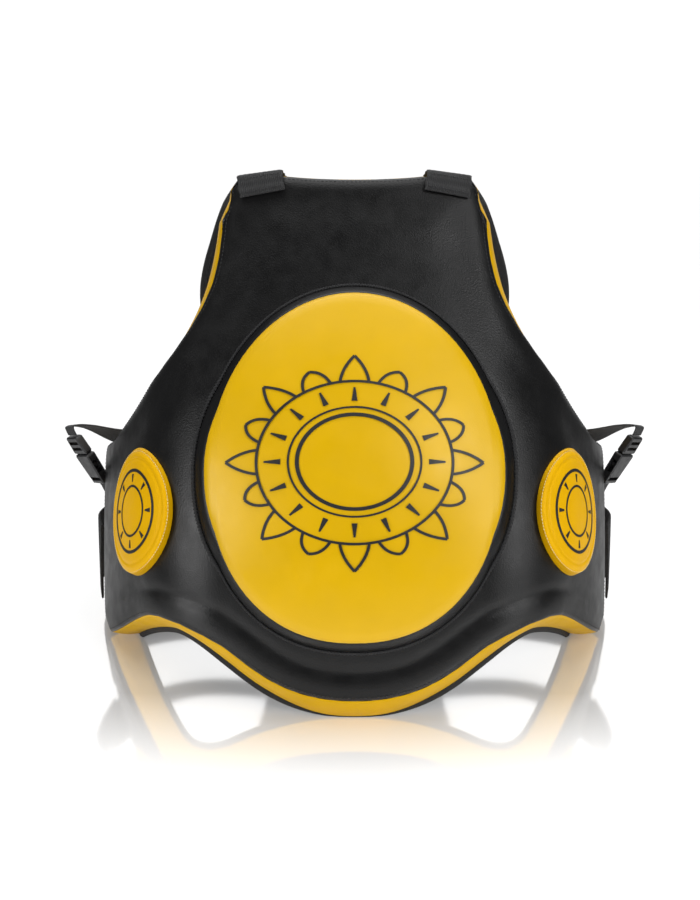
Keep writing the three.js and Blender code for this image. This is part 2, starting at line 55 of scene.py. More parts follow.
LEAN = math.radians(26)
FLATTENED = 3.4 * MM                     # how far the edge is pressed flat on the floor
PANEL_Y = -158.25 * MM                   # the tip's place in the frame, whose origin is under the middle
PLAN = [(124 * MM, math.radians(8)), (68 * MM, math.radians(49)), (150 * MM, math.radians(13.5)), (400 * MM, 0.0)]
BELLY_DEPTH = 32 * MM
PANEL_HEIGHT = 553 * MM
WING_REACH = 350 * MM
WING_MIDDLE = 190 * MM
COVER_TOP = 39.5 * MM                    # the cover's face, away from its edges
COVER_SEAM = 31 * MM                     # where the cover meets the gusset
BINDING = 6 * MM

BELLY = {"height": 243 * MM, "half_width": 131 * MM, "up": 171 * MM, "down": 165 * MM}
BELLY_BASE = 40 * MM
BELLY_RIM = 54.5 * MM
BELLY_DOME = 18 * MM
BELLY_SKIRT = 12 * MM
TARGET = {"across": 245 * MM, "height": 204.5 * MM, "radius": 62 * MM, "wedge": 3.5 * MM}

YOKE = {"half_width": 135 * MM, "bottom": 165 * MM, "top": 265 * MM, "depth": 322 * MM}
BELT = {"bottom": 26 * MM, "height": 80 * MM}


# ---------------------------------------------------------------- small tools

def smoothstep(x, low, high):
    share = np.clip((np.asarray(x, float) - low) / (high - low), 0, 1)
    return share * share * (3 - 2 * share)


def lerp(a, b, share):
    return a + (b - a) * share


def link(name, data, material, sharp=50):
    obj = bpy.data.objects.new(name, data)
    bpy.context.collection.objects.link(obj)
    data.materials.append(material)
    data.shade_smooth()
    data.set_sharp_from_angle(angle=math.radians(sharp))
    return obj


def mesh_piece(name, points, faces, material, pattern=None, sharp=50):
    """A mesh object. pattern gives each point's place on the flat cloth, in metres, as its UV."""
    data = bpy.data.meshes.new(name)
    data.from_pydata(np.asarray(points).tolist(), [], [list(f) for f in faces])
    data.update()
    if pattern is not None:
        layer = data.uv_layers.new(name="pattern")
        corners = np.zeros(len(data.loops), int)
        data.loops.foreach_get("vertex_index", corners)
        layer.data.foreach_set("uv", np.asarray(pattern, float)[corners].ravel())
    return link(name, data, material, sharp)


def grid_faces(columns, rows, start=0, wrap=False, flip=False):
    """Faces of a grid of points stored column by column."""
    faces = []
    for i in range(columns if wrap else columns - 1):
        n = (i + 1) % columns
        for j in range(rows - 1):
            face = [start + i * rows + j, start + n * rows + j, start + n * rows + j + 1, start + i * rows + j + 1]
            faces.append(face[::-1] if flip else face)
    return faces


def slab(name, front, back, material, pattern=None, wrap=False, sharp=50):
    """The closed piece between two grids of points, each (columns, rows, 3)."""
    columns, rows = front.shape[:2]
    count = columns * rows
    faces = grid_faces(columns, rows, wrap=wrap) + grid_faces(columns, rows, start=count, wrap=wrap, flip=True)
    column_range = range(columns if wrap else columns - 1)
    for i in column_range:
        n = (i + 1) % columns
        for a, b in ((n * rows, i * rows), (i * rows + rows - 1, n * rows + rows - 1)):
            faces.append([a, b, count + b, count + a])
    if not wrap:
        for j in range(rows - 1):
            for a, b in ((j, j + 1), ((columns - 1) * rows + j + 1, (columns - 1) * rows + j)):
                faces.append([a, b, count + b, count + a])
    points = np.concatenate([front.reshape(-1, 3), back.reshape(-1, 3)])
    if pattern is not None:
        pattern = np.concatenate([pattern.reshape(-1, 2)] * 2)
    return mesh_piece(name, points, faces, material, pattern, sharp)


def catmull(points, count):
    """Points evenly spaced along a centripetal Catmull-Rom curve."""
    p = np.asarray(points, float)
    p = np.vstack([2 * p[0] - p[1], p, 2 * p[-1] - p[-2]])
    dense = []
    for k in range(1, len(p) - 2):
        quad = p[k - 1:k + 3]
        knots = np.concatenate([[0], np.cumsum(np.sqrt(np.linalg.norm(np.diff(quad, axis=0), axis=1)))])
        for x in np.linspace(knots[1], knots[2], 40, endpoint=(k == len(p) - 3)):
            level = quad
            for width in (1, 2, 3):
                low = knots[:4 - width][:, None]
                high = knots[width:][:, None]
                level = (level[:-1] * (high - x) + level[1:] * (x - low)) / (high - low)
            dense.append(level[0])
    return resample(np.array(dense), np.linspace(0, 1, count))


def resample(line, shares):
    """The line's points at these shares of its length."""
    line = np.asarray(line, float)
    length = np.concatenate([[0], np.cumsum(np.linalg.norm(np.diff(line, axis=0), axis=1))])
    return np.stack([np.interp(np.asarray(shares) * length[-1], length, line[:, k]) for k in range(line.shape[1])], -1)


def bezier(*controls, steps=40):
    """Points on a Bezier curve of any degree."""
    u = np.linspace(0, 1, steps)[:, None]
    level = [np.asarray(c, float) * np.ones((steps, 1)) for c in controls]
    while len(level) > 1:
        level = [lerp(a, b, u) for a, b in zip(level, level[1:])]
    return level[0]


def normalize(v):
    return v / np.maximum(np.linalg.norm(v, axis=-1, keepdims=True), 1e-12)


# ---------------------------------------------------------------- materials

def new_material(name, color, roughness, **sockets):
    material = bpy.data.materials.new(name)
    material.use_nodes = True
    tree = material.node_tree
    shader = tree.nodes["Principled BSDF"]
    shader.inputs["Base Color"].default_value = (*color, 1)
    shader.inputs["Roughness"].default_value = roughness
    for socket, value in sockets.items():
        shader.inputs[socket.replace("_", " ")].default_value = value
    return material, tree, shader


def add(tree, kind, props=None, **inputs):
    node = tree.nodes.new(kind)
    for key, value in (props or {}).items():
        setattr(node, key, value)
    for key, value in inputs.items():
        socket = node.inputs[key.replace("_", " ")]
        if isinstance(value, bpy.types.NodeSocket):
            tree.links.new(value, socket)
        else:
            socket.default_value = value
    return node


def math_node(tree, operation, a, b=None):
    node = tree.nodes.new("ShaderNodeMath")
    node.operation = operation
    for socket, value in zip(node.inputs, (a, b)):
        if isinstance(value, bpy.types.NodeSocket):
            tree.links.new(value, socket)
        elif value is not None:
            socket.default_value = value
    return node.outputs[0]


def shade_variation(tree, shader, coordinates, color, scale, amount):
    """Slow darker and lighter drifts of the base colour."""
    clouds = add(tree, "ShaderNodeTexNoise", Vector=coordinates, Scale=scale, Detail=3.0)
    ramp = tree.nodes.new("ShaderNodeValToRGB")
    tree.links.new(clouds.outputs["Fac"], ramp.inputs["Fac"])
    for element, factor, place in zip(ramp.color_ramp.elements, (1 - amount, 1 + amount), (0.3, 0.7)):
        element.color = (*[min(1, c * factor) for c in color], 1)
        element.position = place
    tree.links.new(ramp.outputs["Color"], shader.inputs["Base Color"])


def bump(tree, shader, height, distance, strength=1.0):
    node = add(tree, "ShaderNodeBump", Height=height, Distance=distance, Strength=strength)
    tree.links.new(node.outputs["Normal"], shader.inputs["Normal"])


def leather(name, color, roughness, grain=700.0, depth=0.12 * MM, variation=0.06, **sockets):
    """Synthetic leather: a pebbled grain of small cells, with patchy gloss."""
    material, tree, shader = new_material(name, color, roughness, **sockets)
    place = add(tree, "ShaderNodeTexCoord").outputs["Object"]
    shade_variation(tree, shader, place, color, 22.0, variation)
    cells = add(tree, "ShaderNodeTexVoronoi", Vector=place, Scale=grain)
    fine = add(tree, "ShaderNodeTexNoise", Vector=place, Scale=grain * 2.2, Detail=2.0)
    height = math_node(tree, "ADD", cells.outputs["Distance"], math_node(tree, "MULTIPLY", fine.outputs["Fac"], 0.5))
    bump(tree, shader, height, depth)
    patches = add(tree, "ShaderNodeTexNoise", Vector=place, Scale=60.0, Detail=4.0)
    gloss = add(tree, "ShaderNodeMapRange", Value=patches.outputs["Fac"], From_Min=0.3, From_Max=0.7,
                To_Min=roughness - 0.05, To_Max=roughness + 0.07)
    tree.links.new(gloss.outputs["Result"], shader.inputs["Roughness"])
    return material


def woven(name, color, roughness, across, along, depth, lift=0.0, **sockets):
    """Cloth whose threads follow the piece's own pattern. across and along are thread spacings."""
    material, tree, shader = new_material(name, color, roughness, **sockets)
    coordinates = add(tree, "ShaderNodeTexCoord")
    split = add(tree, "ShaderNodeSeparateXYZ", Vector=coordinates.outputs["UV"])
    shade_variation(tree, shader, coordinates.outputs["Object"], color, 45.0, 0.14)
    threads = []
    for output, spacing, phase in (("X", across, 0.0), ("Y", along, lift)):
        turns = math_node(tree, "MULTIPLY", split.outputs[output], 2 * math.pi / spacing)
        threads.append(math_node(tree, "SINE", math_node(tree, "ADD", turns, phase)))
    product = math_node(tree, "MULTIPLY", threads[0], threads[1])
    ribs = math_node(tree, "ADD", product, math_node(tree, "MULTIPLY", threads[0], 0.6))
    fuzz = add(tree, "ShaderNodeTexNoise", Vector=coordinates.outputs["Object"], Scale=1800.0, Detail=2.0)
    height = math_node(tree, "ADD", ribs, fuzz.outputs["Fac"])
    bump(tree, shader, height, depth)
    return material


def pile(name, color, scale, depth):
    """Hook or loop pile: fine matt fuzz."""
    material, tree, shader = new_material(name, color, 0.95, Sheen_Weight=0.3)
    place = add(tree, "ShaderNodeTexCoord").outputs["Object"]
    shade_variation(tree, shader, place, color, 120.0, 0.3)
    cells = add(tree, "ShaderNodeTexVoronoi", Vector=place, Scale=scale)
    bump(tree, shader, cells.outputs["Distance"], depth)
    return material


def plastic(name, color):
    """Moulded plastic: a faint spark-eroded texture, duller on worn patches."""
    material, tree, shader = new_material(name, color, 0.36)
    place = add(tree, "ShaderNodeTexCoord").outputs["Object"]
    shade_variation(tree, shader, place, color, 90.0, 0.12)
    texture = add(tree, "ShaderNodeTexNoise", Vector=place, Scale=3500.0, Detail=2.0)
    bump(tree, shader, texture.outputs["Fac"], 0.03 * MM)
    wear = add(tree, "ShaderNodeTexNoise", Vector=place, Scale=160.0, Detail=3.0)
    gloss = add(tree, "ShaderNodeMapRange", Value=wear.outputs["Fac"], From_Min=0.35, From_Max=0.7,
                To_Min=0.3, To_Max=0.46)
    tree.links.new(gloss.outputs["Result"], shader.inputs["Roughness"])
    return material


YELLOW = (0.67, 0.395, 0.0)
# Painted shade: the yellow leather's colour darkened, standing in for the shade on the gusset's downward-facing band.
SHADED_YELLOW = (0.62, 0.35, 0.0)
BLACK = (0.0042, 0.0042, 0.0044)

MATERIALS = {
    "black_leather": leather("black_leather", BLACK, 0.34, Specular_IOR_Level=0.30),
    "yellow_leather": leather("yellow_leather", YELLOW, 0.34, grain=900.0, depth=0.05 * MM, variation=0.03,
                              Specular_IOR_Level=0.45, Specular_Tint=(1.0, 0.92, 0.6, 1.0)),
    "target_leather": leather("target_leather", (0.74, 0.40, 0.0), 0.46, grain=900.0, depth=0.05 * MM, variation=0.03,
                              Specular_IOR_Level=0.16, Specular_Tint=(1.0, 0.9, 0.5, 1.0)),
    # Painted shade: the gusset's leather is a darkened copy of the yellow leather, for its downward-facing band.
    "gusset_leather_painted_shade": leather("gusset_leather_painted_shade", SHADED_YELLOW, 0.45, grain=900.0, depth=0.06 * MM, variation=0.05,
                              Specular_IOR_Level=0.15, Specular_Tint=(1.0, 0.9, 0.5, 1.0)),
    "binding_cloth": woven("binding_cloth", (0.010, 0.010, 0.011), 0.8, 0.9 * MM, 0.7 * MM, 0.15 * MM),
    "lining_cloth": woven("lining_cloth", (0.014, 0.014, 0.015), 0.75, 0.8 * MM, 0.8 * MM, 0.12 * MM,
                          Sheen_Weight=0.15),
    "pad_cloth": woven("pad_cloth", (0.012, 0.012, 0.013), 0.8, 1.1 * MM, 1.1 * MM, 0.2 * MM, Sheen_Weight=0.2),
    "webbing": woven("webbing", (0.011, 0.011, 0.012), 0.7, 2.0 * MM, 1.3 * MM, 0.35 * MM, Sheen_Weight=0.1),
    "elastic": woven("elastic", (0.012, 0.012, 0.013), 0.78, 3.0 * MM, 1.2 * MM, 0.35 * MM),
    "thread": woven("thread", (0.020, 0.020, 0.021), 0.55, 0.4 * MM, 0.4 * MM, 0.05 * MM),
    "pale_thread": woven("pale_thread", (0.78, 0.66, 0.30), 0.5, 0.4 * MM, 0.4 * MM, 0.05 * MM),
    "ink": leather("ink", (0.010, 0.010, 0.010), 0.5, grain=900.0, depth=0.04 * MM),
    "foam": pile("foam", (0.28, 0.29, 0.31), 1500.0, 0.2 * MM),
    "hook": pile("hook", (0.016, 0.016, 0.017), 700.0, 0.6 * MM),
    "loop": pile("loop", (0.013, 0.013, 0.014), 420.0, 0.8 * MM),
    "plastic": plastic("plastic", (0.012, 0.012, 0.013)),
}


# ---------------------------------------------------------------- the bent panel

def plan_point(s):
    """Plan view of the lining's back: x, y and heading at a distance s from the centre line."""
    left = np.abs(np.asarray(s, float))
    x, y, heading = np.zeros_like(left), np.zeros_like(left), np.zeros_like(left)
    for length, turn in PLAN:
        run = np.minimum(left, length)
        after = heading + turn * run / length
        if turn:
            radius = length / turn
            x = x + radius * (np.sin(after) - np.sin(heading))
            y = y + radius * (np.cos(heading) - np.cos(after))
        else:
            x = x + run * np.cos(heading)
            y = y + run * np.sin(heading)
        heading, left = after, left - run
    return x, y, heading


def body_point(s, h, t):
    """Points of the standing panel from pattern places."""
    s, h, t = np.broadcast_arrays(np.asarray(s, float), np.asarray(h, float), np.asarray(t, float))
    x, y, heading = plan_point(s)
    bulge = BELLY_DEPTH * np.sin(np.pi * np.clip(h / PANEL_HEIGHT, 0, 1) ** 0.75) ** 2
    x = np.sign(s) * (x + t * np.sin(heading))
    y = y - t * np.cos(heading) - bulge
    depth = y * math.cos(LEAN) + h * math.sin(LEAN) + PANEL_Y
    height = h * math.cos(LEAN) - y * math.sin(LEAN) - FLATTENED
    return np.stack([x, depth, np.maximum(height, 0)], -1)


def half_outline():
    """The lining's edge on the right half: along the bottom, up the wing's rear, and along the top."""
    middle = (WING_REACH / MM, WING_MIDDLE / MM)
    bottom_corner = bezier((340, 80.4), (350, 85), (350, 106))
    top_corner = bezier((322, 297), (350, 290), (350, 262))
    bottom = np.vstack([
        bezier((0, 0), (113, 0), (130, 81), (195, 81)),
        bezier((195, 81), (240, 81), (288, 72), (312, 67.5))[1:],
        bottom_corner[:21],
    ])
    rear = np.vstack([bottom_corner[20:], [middle], top_corner[:19:-1]])
    top = np.vstack([
        bezier((0, 540), (35, 540), (66, 544)),
        bezier((66, 544), (92, 545), (112, 540))[1:],
        bezier((112, 540), (126, 536), (129.5, 525))[1:],
        bezier((129.5, 525), (139, 500))[1:],
        bezier((139, 500), (147, 440), (160, 388), (201, 353))[1:],
        bezier((201, 353), (252, 320), (286, 305), (322, 297))[1:],
        top_corner[1:21],
    ])
    return bottom * MM, rear * MM, top * MM


HALF_COLUMNS = 110
ROWS = 96
COLUMN_SHARES = np.sin(np.linspace(0, np.pi / 2, HALF_COLUMNS + 1))
ROW_SHARES = 0.5 - 0.5 * np.cos(np.linspace(0, np.pi, ROWS + 1))


def edge_lines(columns, rows):
    bottom, rear, top = half_outline()
    return [resample(bottom, columns), resample(rear, rows), resample(top, columns)]


def edge_normals(bottom, rear, top):
    """Inward normals along the three edge lines, smooth round the corners."""
    loop = np.vstack([bottom, rear[1:-1], top[::-1]])
    before = np.vstack([loop[1] * [-1, 1], loop[:-1]])
    after = np.vstack([loop[1:], loop[-2] * [-1, 1]])
    along = normalize(after - before)
    inward = np.stack([-along[:, 1], along[:, 0]], -1)
    n, m = len(bottom), len(rear)
    return inward[:n], inward[n - 1:n + m - 1], inward[n + m - 2:][::-1]


def bevel_at(points):
    """How far the cover's edge is set in from the lining's edge."""
    across, up = np.abs(points[:, 0]), points[:, 1]
    bottom = lerp(20 * MM, 7 * MM, smoothstep(across, 180 * MM, 290 * MM))
    neck = lerp(18 * MM, 11 * MM, smoothstep(up, 420 * MM, 520 * MM))
    side = lerp(bottom, neck, smoothstep(up, 110 * MM, 300 * MM))
    top = lerp(side, 3 * MM, smoothstep(up, 522 * MM, 539 * MM))
    return lerp(top, 9 * MM, smoothstep(across, 290 * MM, 345 * MM))


def inset_lines(amount, columns=COLUMN_SHARES, rows=ROW_SHARES):
    """The three edge lines moved inwards by amount(points)."""
    lines = edge_lines(columns, rows)
    return [line + normal * amount(line)[:, None] for line, normal in zip(lines, edge_normals(*lines))]


def coons(bottom, rear, top, columns, rows):
    """Pattern places of the right half, filled in from its four edges."""
    u = columns[:, None, None]
    v = rows[None, :, None]
    centre = lerp(bottom[0], top[0], rows[:, None])
    between = lerp(bottom[:, None], top[:, None], v) + lerp(centre[None], rear[None], u)
    corners = lerp(lerp(bottom[0], bottom[-1], u), lerp(top[0], top[-1], u), v)
    return between - corners


def whole(half):
    """Both halves of a grid of pattern places, left edge to right edge."""
    return np.concatenate([half[:0:-1] * [-1, 1], half])


def distance_inside(places, line):
    """Distance of each pattern place from a closed outline."""
    flat = np.abs(places.reshape(-1, 2)) * [1, 1]
    flat[:, 1] = places.reshape(-1, 2)[:, 1]
    nearest = np.full(len(flat), 1e9)
    for a, b in zip(line[:-1], line[1:]):
        span = b - a
        share = np.clip(((flat - a) @ span) / max(span @ span, 1e-12), 0, 1)
        nearest = np.minimum(nearest, np.linalg.norm(flat - a - share[:, None] * span, axis=1))
    return nearest.reshape(places.shape[:2])


def rumple(places, size, amount, seed=0.0):
    """Small random unevenness of hand-made padding."""
    flat = places.reshape(-1, 2)
    values = [noise.noise(Vector((x / size, y / size, seed))) for x, y in flat]
    return np.array(values).reshape(places.shape[:2]) * amount


def wing_share(across):
    """0 on the front of the panel and 1 on its wings, whose padding is squarer at the edges."""
    return smoothstep(np.abs(across), 210 * MM, 300 * MM)


def seam_height(across):
    return lerp(COVER_SEAM, 35.5 * MM, wing_share(across))


def cover_height(places, lines):
    """Height of the cover over the lining: rolled edges, a shallow sewn channel along the bottom."""
    edge = np.vstack([lines[0][::4], lines[1][::3], lines[2][::-4], lines[2][:1]])
    inside = distance_inside(places, edge)
    wing = wing_share(places[..., 0])
    roll_width = lerp(15 * MM, 7 * MM, wing)
    shoulder = lerp(37.2 * MM, COVER_TOP, wing)
    roll = np.sqrt(np.clip(1 - (1 - np.clip(inside / roll_width, 0, 1)) ** 2, 0, 1))
    height = lerp(seam_height(places[..., 0]), shoulder, roll)
    height = height + (COVER_TOP - shoulder) * smoothstep(inside, 22 * MM, 60 * MM)
    low = (1 - smoothstep(places[..., 1], 150 * MM, 260 * MM)) * (1 - wing)
    channel = np.exp(-((inside - 27 * MM) / (5 * MM)) ** 2)
    height = height - 1.8 * MM * channel * low
    return height + rumple(places, 70 * MM, 0.9 * MM) * smoothstep(inside, 5 * MM, 40 * MM)


def panel_grid(amount, height):
    lines = inset_lines(amount)
    places = whole(coons(*lines, COLUMN_SHARES, ROW_SHARES))
    return places, body_point(places[..., 0], places[..., 1], height(places, lines))


def make_cover():
    places, front = panel_grid(bevel_at, cover_height)
    _, back = panel_grid(bevel_at, lambda p, lines: cover_height(p, lines) - 1.6 * MM)
    piece = slab("cover_leather", front, back, MATERIALS["black_leather"], places)
    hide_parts("front_cover")
    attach(piece, "vest")


def closed_outline(count_bottom=200, count_rear=60, count_top=240):
    """The lining's edge as one loop, with its inward normals."""
    lines = edge_lines(np.linspace(0, 1, count_bottom), np.linspace(0, 1, count_rear))
    lines[2] = resample(half_outline()[2], np.linspace(0, 1, count_top))
    normals = edge_normals(*lines)
    half = np.vstack([lines[0], lines[1][1:-1], lines[2][::-1]])
    inward = np.vstack([normals[0], normals[1][1:-1], normals[2][::-1]])
    loop = np.vstack([half, half[-2:0:-1] * [-1, 1]])
    return loop, np.vstack([inward, inward[-2:0:-1] * [-1, 1]])


def edge_band(name, outer, inner, material, sharp=60):
    """A band round the panel's edge between two (inset, t) section lines."""
    loop, inward = closed_outline()
    run = np.concatenate([[0], np.cumsum(np.linalg.norm(np.diff(loop, axis=0), axis=1))])

    def grid(section):
        columns = []
        for inset, t in section(loop):
            place = loop + inward * np.asarray(inset)[:, None]
            columns.append(body_point(place[:, 0], place[:, 1], t))
        return np.stack(columns, 1)

    front, back = grid(outer), grid(inner)
    rise = np.concatenate([[0], np.cumsum(np.linalg.norm(np.diff(front[0], axis=0), axis=1))])
    pattern = np.stack(np.meshgrid(run, rise, indexing="ij"), -1)
    return slab(name, front, back, material, pattern, wrap=True, sharp=sharp)


def flange(loop):
    """How far the binding shows outside the gusset's foot: a broad strip along the lower slopes."""
    slope = smoothstep(np.abs(loop[:, 0]), 20 * MM, 90 * MM) * (1 - smoothstep(loop[:, 1], 100 * MM, 240 * MM))
    return lerp(1.6 * MM, 5.5 * MM, slope)


def make_gusset():
    def outer(loop):
        bevel = bevel_at(loop)
        foot = flange(loop)
        seam = seam_height(loop[:, 0]) - 0.3 * MM
        for share in np.linspace(0, 1, 9):
            belly = 1.6 * MM * math.sin(math.pi * share)
            yield lerp(foot, bevel - 0.4 * MM, share) - belly, lerp(BINDING - 0.8 * MM, seam, share)

    def inner(loop):
        for inset, t in outer(loop):
            yield inset + 1.8 * MM, t

    # The gusset's leather carries painted shade: a darkened copy of the yellow leather.
    piece = edge_band("gusset_leather_painted_shade", outer, inner, MATERIALS["gusset_leather_painted_shade"])
    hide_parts("edge_gusset")
    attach(piece, "vest")


def make_binding():
    def outer(loop):
        reach = flange(loop) + 0.6 * MM
        for angle in np.linspace(-95, 95, 9):
            turn = math.radians(angle)
            yield reach * (1 - math.cos(turn)), BINDING / 2 + BINDING / 2 * math.sin(turn) * 1.02

    def inner(loop):
        for inset, t in outer(loop):
            yield inset + 2.6 * MM, t

    piece = edge_band("lining_edge_binding", outer, inner, MATERIALS["binding_cloth"])
    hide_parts("lining_binding")
    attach(piece, "vest")


def make_lining():
    def groove(places):
        bend = np.exp(-((np.abs(places[..., 0]) - 128 * MM) / (3.5 * MM)) ** 2)
        yoke_line = np.exp(-((places[..., 1] - 330 * MM) / (3.5 * MM)) ** 2)
        return 1.6 * MM * np.maximum(bend, yoke_line * (np.abs(places[..., 0]) < 128 * MM))

    inset = lambda points: np.full(len(points), 3.6 * MM)
    places, back = panel_grid(inset, lambda p, lines: 0.4 * MM + groove(p) + rumple(p, 45 * MM, 0.5 * MM, 4.0))
    _, front = panel_grid(inset, lambda p, lines: np.full(p.shape[:2], 3.0 * MM))
    piece = slab("lining_cloth", front, back, MATERIALS["lining_cloth"], places)
    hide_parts("lining")
    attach(piece, "vest")


def make_panel_foam():
    """Two foam sheets inside the panel, cut back from the covers."""
    for name, node, low, high in (
        ("panel_foam_soft", "back_foam", 3.6 * MM, 13.6 * MM),
        ("panel_foam_firm", "foam_core", 14.2 * MM, None),
    ):
        inset = lambda points: bevel_at(points) * (0.5 if high else 1) + 7 * MM
        top = lambda p, lines: np.full(p.shape[:2], high) if high else cover_height(p, lines) - 4.5 * MM
        places, front = panel_grid(inset, top)
        _, back = panel_grid(inset, lambda p, lines: np.full(p.shape[:2], low))
        thin = slice(None, None, 4)
        piece = slab(name, front[thin, thin], back[thin, thin], MATERIALS["foam"], places[thin, thin])
        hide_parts(node)
        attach(piece, "vest")


# ---------------------------------------------------------------- stitches and printed lines

def stitches(name, points, normals, pitch=4.2 * MM, length=3.0 * MM, radius=0.42 * MM, body="vest", lift=0.1 * MM,
             material="thread"):
    """A row of separate stitches along a line that lies on a surface."""
    points = np.asarray(points, float)
    total = np.linalg.norm(np.diff(points, axis=0), axis=1).sum()
    count = max(2, int(total / pitch))
    middles = resample(points, (np.arange(count) + 0.5) / count)
    ahead = resample(points, np.clip((np.arange(count) + 0.5) / count + 0.5 * length / total, 0, 1))
    outward = normalize(resample(np.hstack([points, np.asarray(normals, float)]), (np.arange(count) + 0.5) / count)[:, 3:])
    along = normalize(ahead - middles)
    side = np.cross(along, outward)
    shell, faces = [], []
    rings, spokes = 5, 6
    for k in range(count):
        start = len(shell)
        for ring in range(rings):
            place = -1 + 2 * ring / (rings - 1)
            girth = radius * math.sqrt(max(0.08, 1 - place * place))
            for spoke in range(spokes):
                turn = 2 * math.pi * spoke / spokes
                offset = side[k] * math.cos(turn) * girth + outward[k] * (math.sin(turn) * girth + lift)
                shell.append(middles[k] + along[k] * place * length / 2 + offset)
        faces += [[start + r * spokes + a, start + r * spokes + (a + 1) % spokes,
                   start + (r + 1) * spokes + (a + 1) % spokes, start + (r + 1) * spokes + a]
                  for r in range(rings - 1) for a in range(spokes)]
        faces += [list(range(start, start + spokes))[::-1], list(range(start + (rings - 1) * spokes, start + rings * spokes))]
    pattern = np.zeros((len(shell), 2))
    piece = mesh_piece(name, shell, faces, MATERIALS[material], pattern, sharp=80)
    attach(piece, body)


def surface_normals(place, places):
    """Outward normals of a surface place(s, h), taken from its neighbours."""
    step = 1 * MM
    s, h = places[:, 0], places[:, 1]
    across = place(s + step, h) - place(s - step, h)
    up = place(s, h + step) - place(s, h - step)
    return normalize(np.cross(across, up))


def make_edge_stitches():
    """Stitch rows along the cover's edge and on the lining."""
    loop, inward = closed_outline(120, 40, 150)
    bevel = bevel_at(loop)
    inset = loop + inward * (bevel + 3.2 * MM)[:, None]
    wing = wing_share(inset[:, 0])
    rise = np.sqrt(1 - (1 - 3.2 / lerp(15, 7, wing)) ** 2)
    t = lerp(seam_height(inset[:, 0]), lerp(37.2 * MM, COVER_TOP, wing), rise)
    points = body_point(inset[:, 0], inset[:, 1], t)
    normals = surface_normals(lambda s, h: body_point(s, h, t), inset)
    stitches("cover_edge_stitches", points, normals)
    for mark in (-1, 1):
        h = np.linspace(70, 400, 60) * MM
        s = np.full(60, mark * 128 * MM)
        points = body_point(s, h, 1.7 * MM)
        normals = -surface_normals(lambda a, b: body_point(a, b, 1.7 * MM), np.stack([s, h], -1))
        stitches("lining_stitches_left" if mark < 0 else "lining_stitches_right", points, normals)


def ribbon(place, line, width, lift):
    """A flat printed stroke on the surface place(s, h, lift), along a line of pattern places."""
    line = np.asarray(line, float)
    along = normalize(np.gradient(line, axis=0))
    side = np.stack([-along[:, 1], along[:, 0]], -1)
    width = np.broadcast_to(np.asarray(width, float), len(line))[:, None]
    edges = [line + side * width / 2, line - side * width / 2]
    top = np.stack([place(e[:, 0], e[:, 1], lift) for e in edges], 1)
    under = np.stack([place(e[:, 0], e[:, 1], -0.4 * MM) for e in edges], 1)
    return top, under


def print_piece(name, place, strokes, material="ink", lift=0.14 * MM):
    """Printed strokes joined into one thin piece. Each stroke is (line, width)."""
    points, faces, pattern = [], [], []
    for line, width in strokes:
        top, under = ribbon(place, line, width, lift)
        rows = len(top)
        start = len(points)
        for i in range(rows):
            points += [top[i, 0], top[i, 1], under[i, 1], under[i, 0]]
            pattern += [[0, 0]] * 4
        for i in range(rows - 1):
            a, b = start + 4 * i, start + 4 * (i + 1)
            faces += [[a + k, b + k, b + (k + 1) % 4, a + (k + 1) % 4] for k in range(4)]
        faces += [[start, start + 1, start + 2, start + 3],
                  [start + 4 * (rows - 1) + k for k in (3, 2, 1, 0)]]
    piece = mesh_piece(name, points, faces, MATERIALS[material], pattern, sharp=40)
    if signed_volume(piece) < 0:
        piece.data.flip_normals()
    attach(piece, "vest")


def signed_volume(piece):
    data = piece.data
    data.calc_loop_triangles()
    total = 0.0
    for tri in data.loop_triangles:
        a, b, c = (data.vertices[i].co for i in tri.vertices)
        total += a.dot(b.cross(c))
    return total


def arc_line(centre, radius, start=0.0, end=360.0, steps=97):
    turn = np.radians(np.linspace(start, end, steps))
    return np.stack([centre[0] + radius * np.cos(turn), centre[1] + radius * np.sin(turn)], -1)


# ---------------------------------------------------------------- belly target

def belly_place(angle, share, grow=0.0):
    """Pattern place on the belly target's egg outline."""
    across, up = np.cos(angle), np.sin(angle)
    fullness = np.where(up < 0, 0.9, 1.0)
    reach = np.where(up < 0, BELLY["down"], BELLY["up"]) + grow
    s = np.sign(across) * np.abs(across) ** fullness * (BELLY["half_width"] + grow) * share
    h = BELLY["height"] + np.sign(up) * np.abs(up) ** fullness * reach * share
    return s, h


def belly_dome(share):
    """Height of the belly cover over its rim: a rolled edge, then a broad crown."""
    roll = np.sqrt(np.clip(1 - np.clip((share - 0.93) / 0.07, 0, 1) ** 2, 0, 1))
    return 4.0 * MM * roll + (BELLY_DOME - 3.0 * MM) * (1 - np.clip(share, 0, 1) ** 2.3)


def belly_share(s, h):
    """How far out a pattern place is on the belly target, 0 at its middle and 1 at its rim."""
    up = (h - BELLY["height"])
    reach = np.where(up < 0, BELLY["down"], BELLY["up"])
    return np.sqrt((s / BELLY["half_width"]) ** 2 + (up / reach) ** 2)


def belly_surface(s, h, lift=0.0):
    return body_point(s, h, BELLY_RIM + belly_dome(belly_share(s, h)) + lift)


SPOKES = 240


def polar(radii, place, height):
    """Grid of points over (radius, angle), and its pattern places."""
    angles = np.linspace(0, 2 * np.pi, SPOKES, endpoint=False)
    a, r = np.meshgrid(angles, radii, indexing="ij")
    s, h = place(a, r)
    return np.stack([s, h], -1), body_point(s, h, height(a, r, np.stack([s, h], -1)))


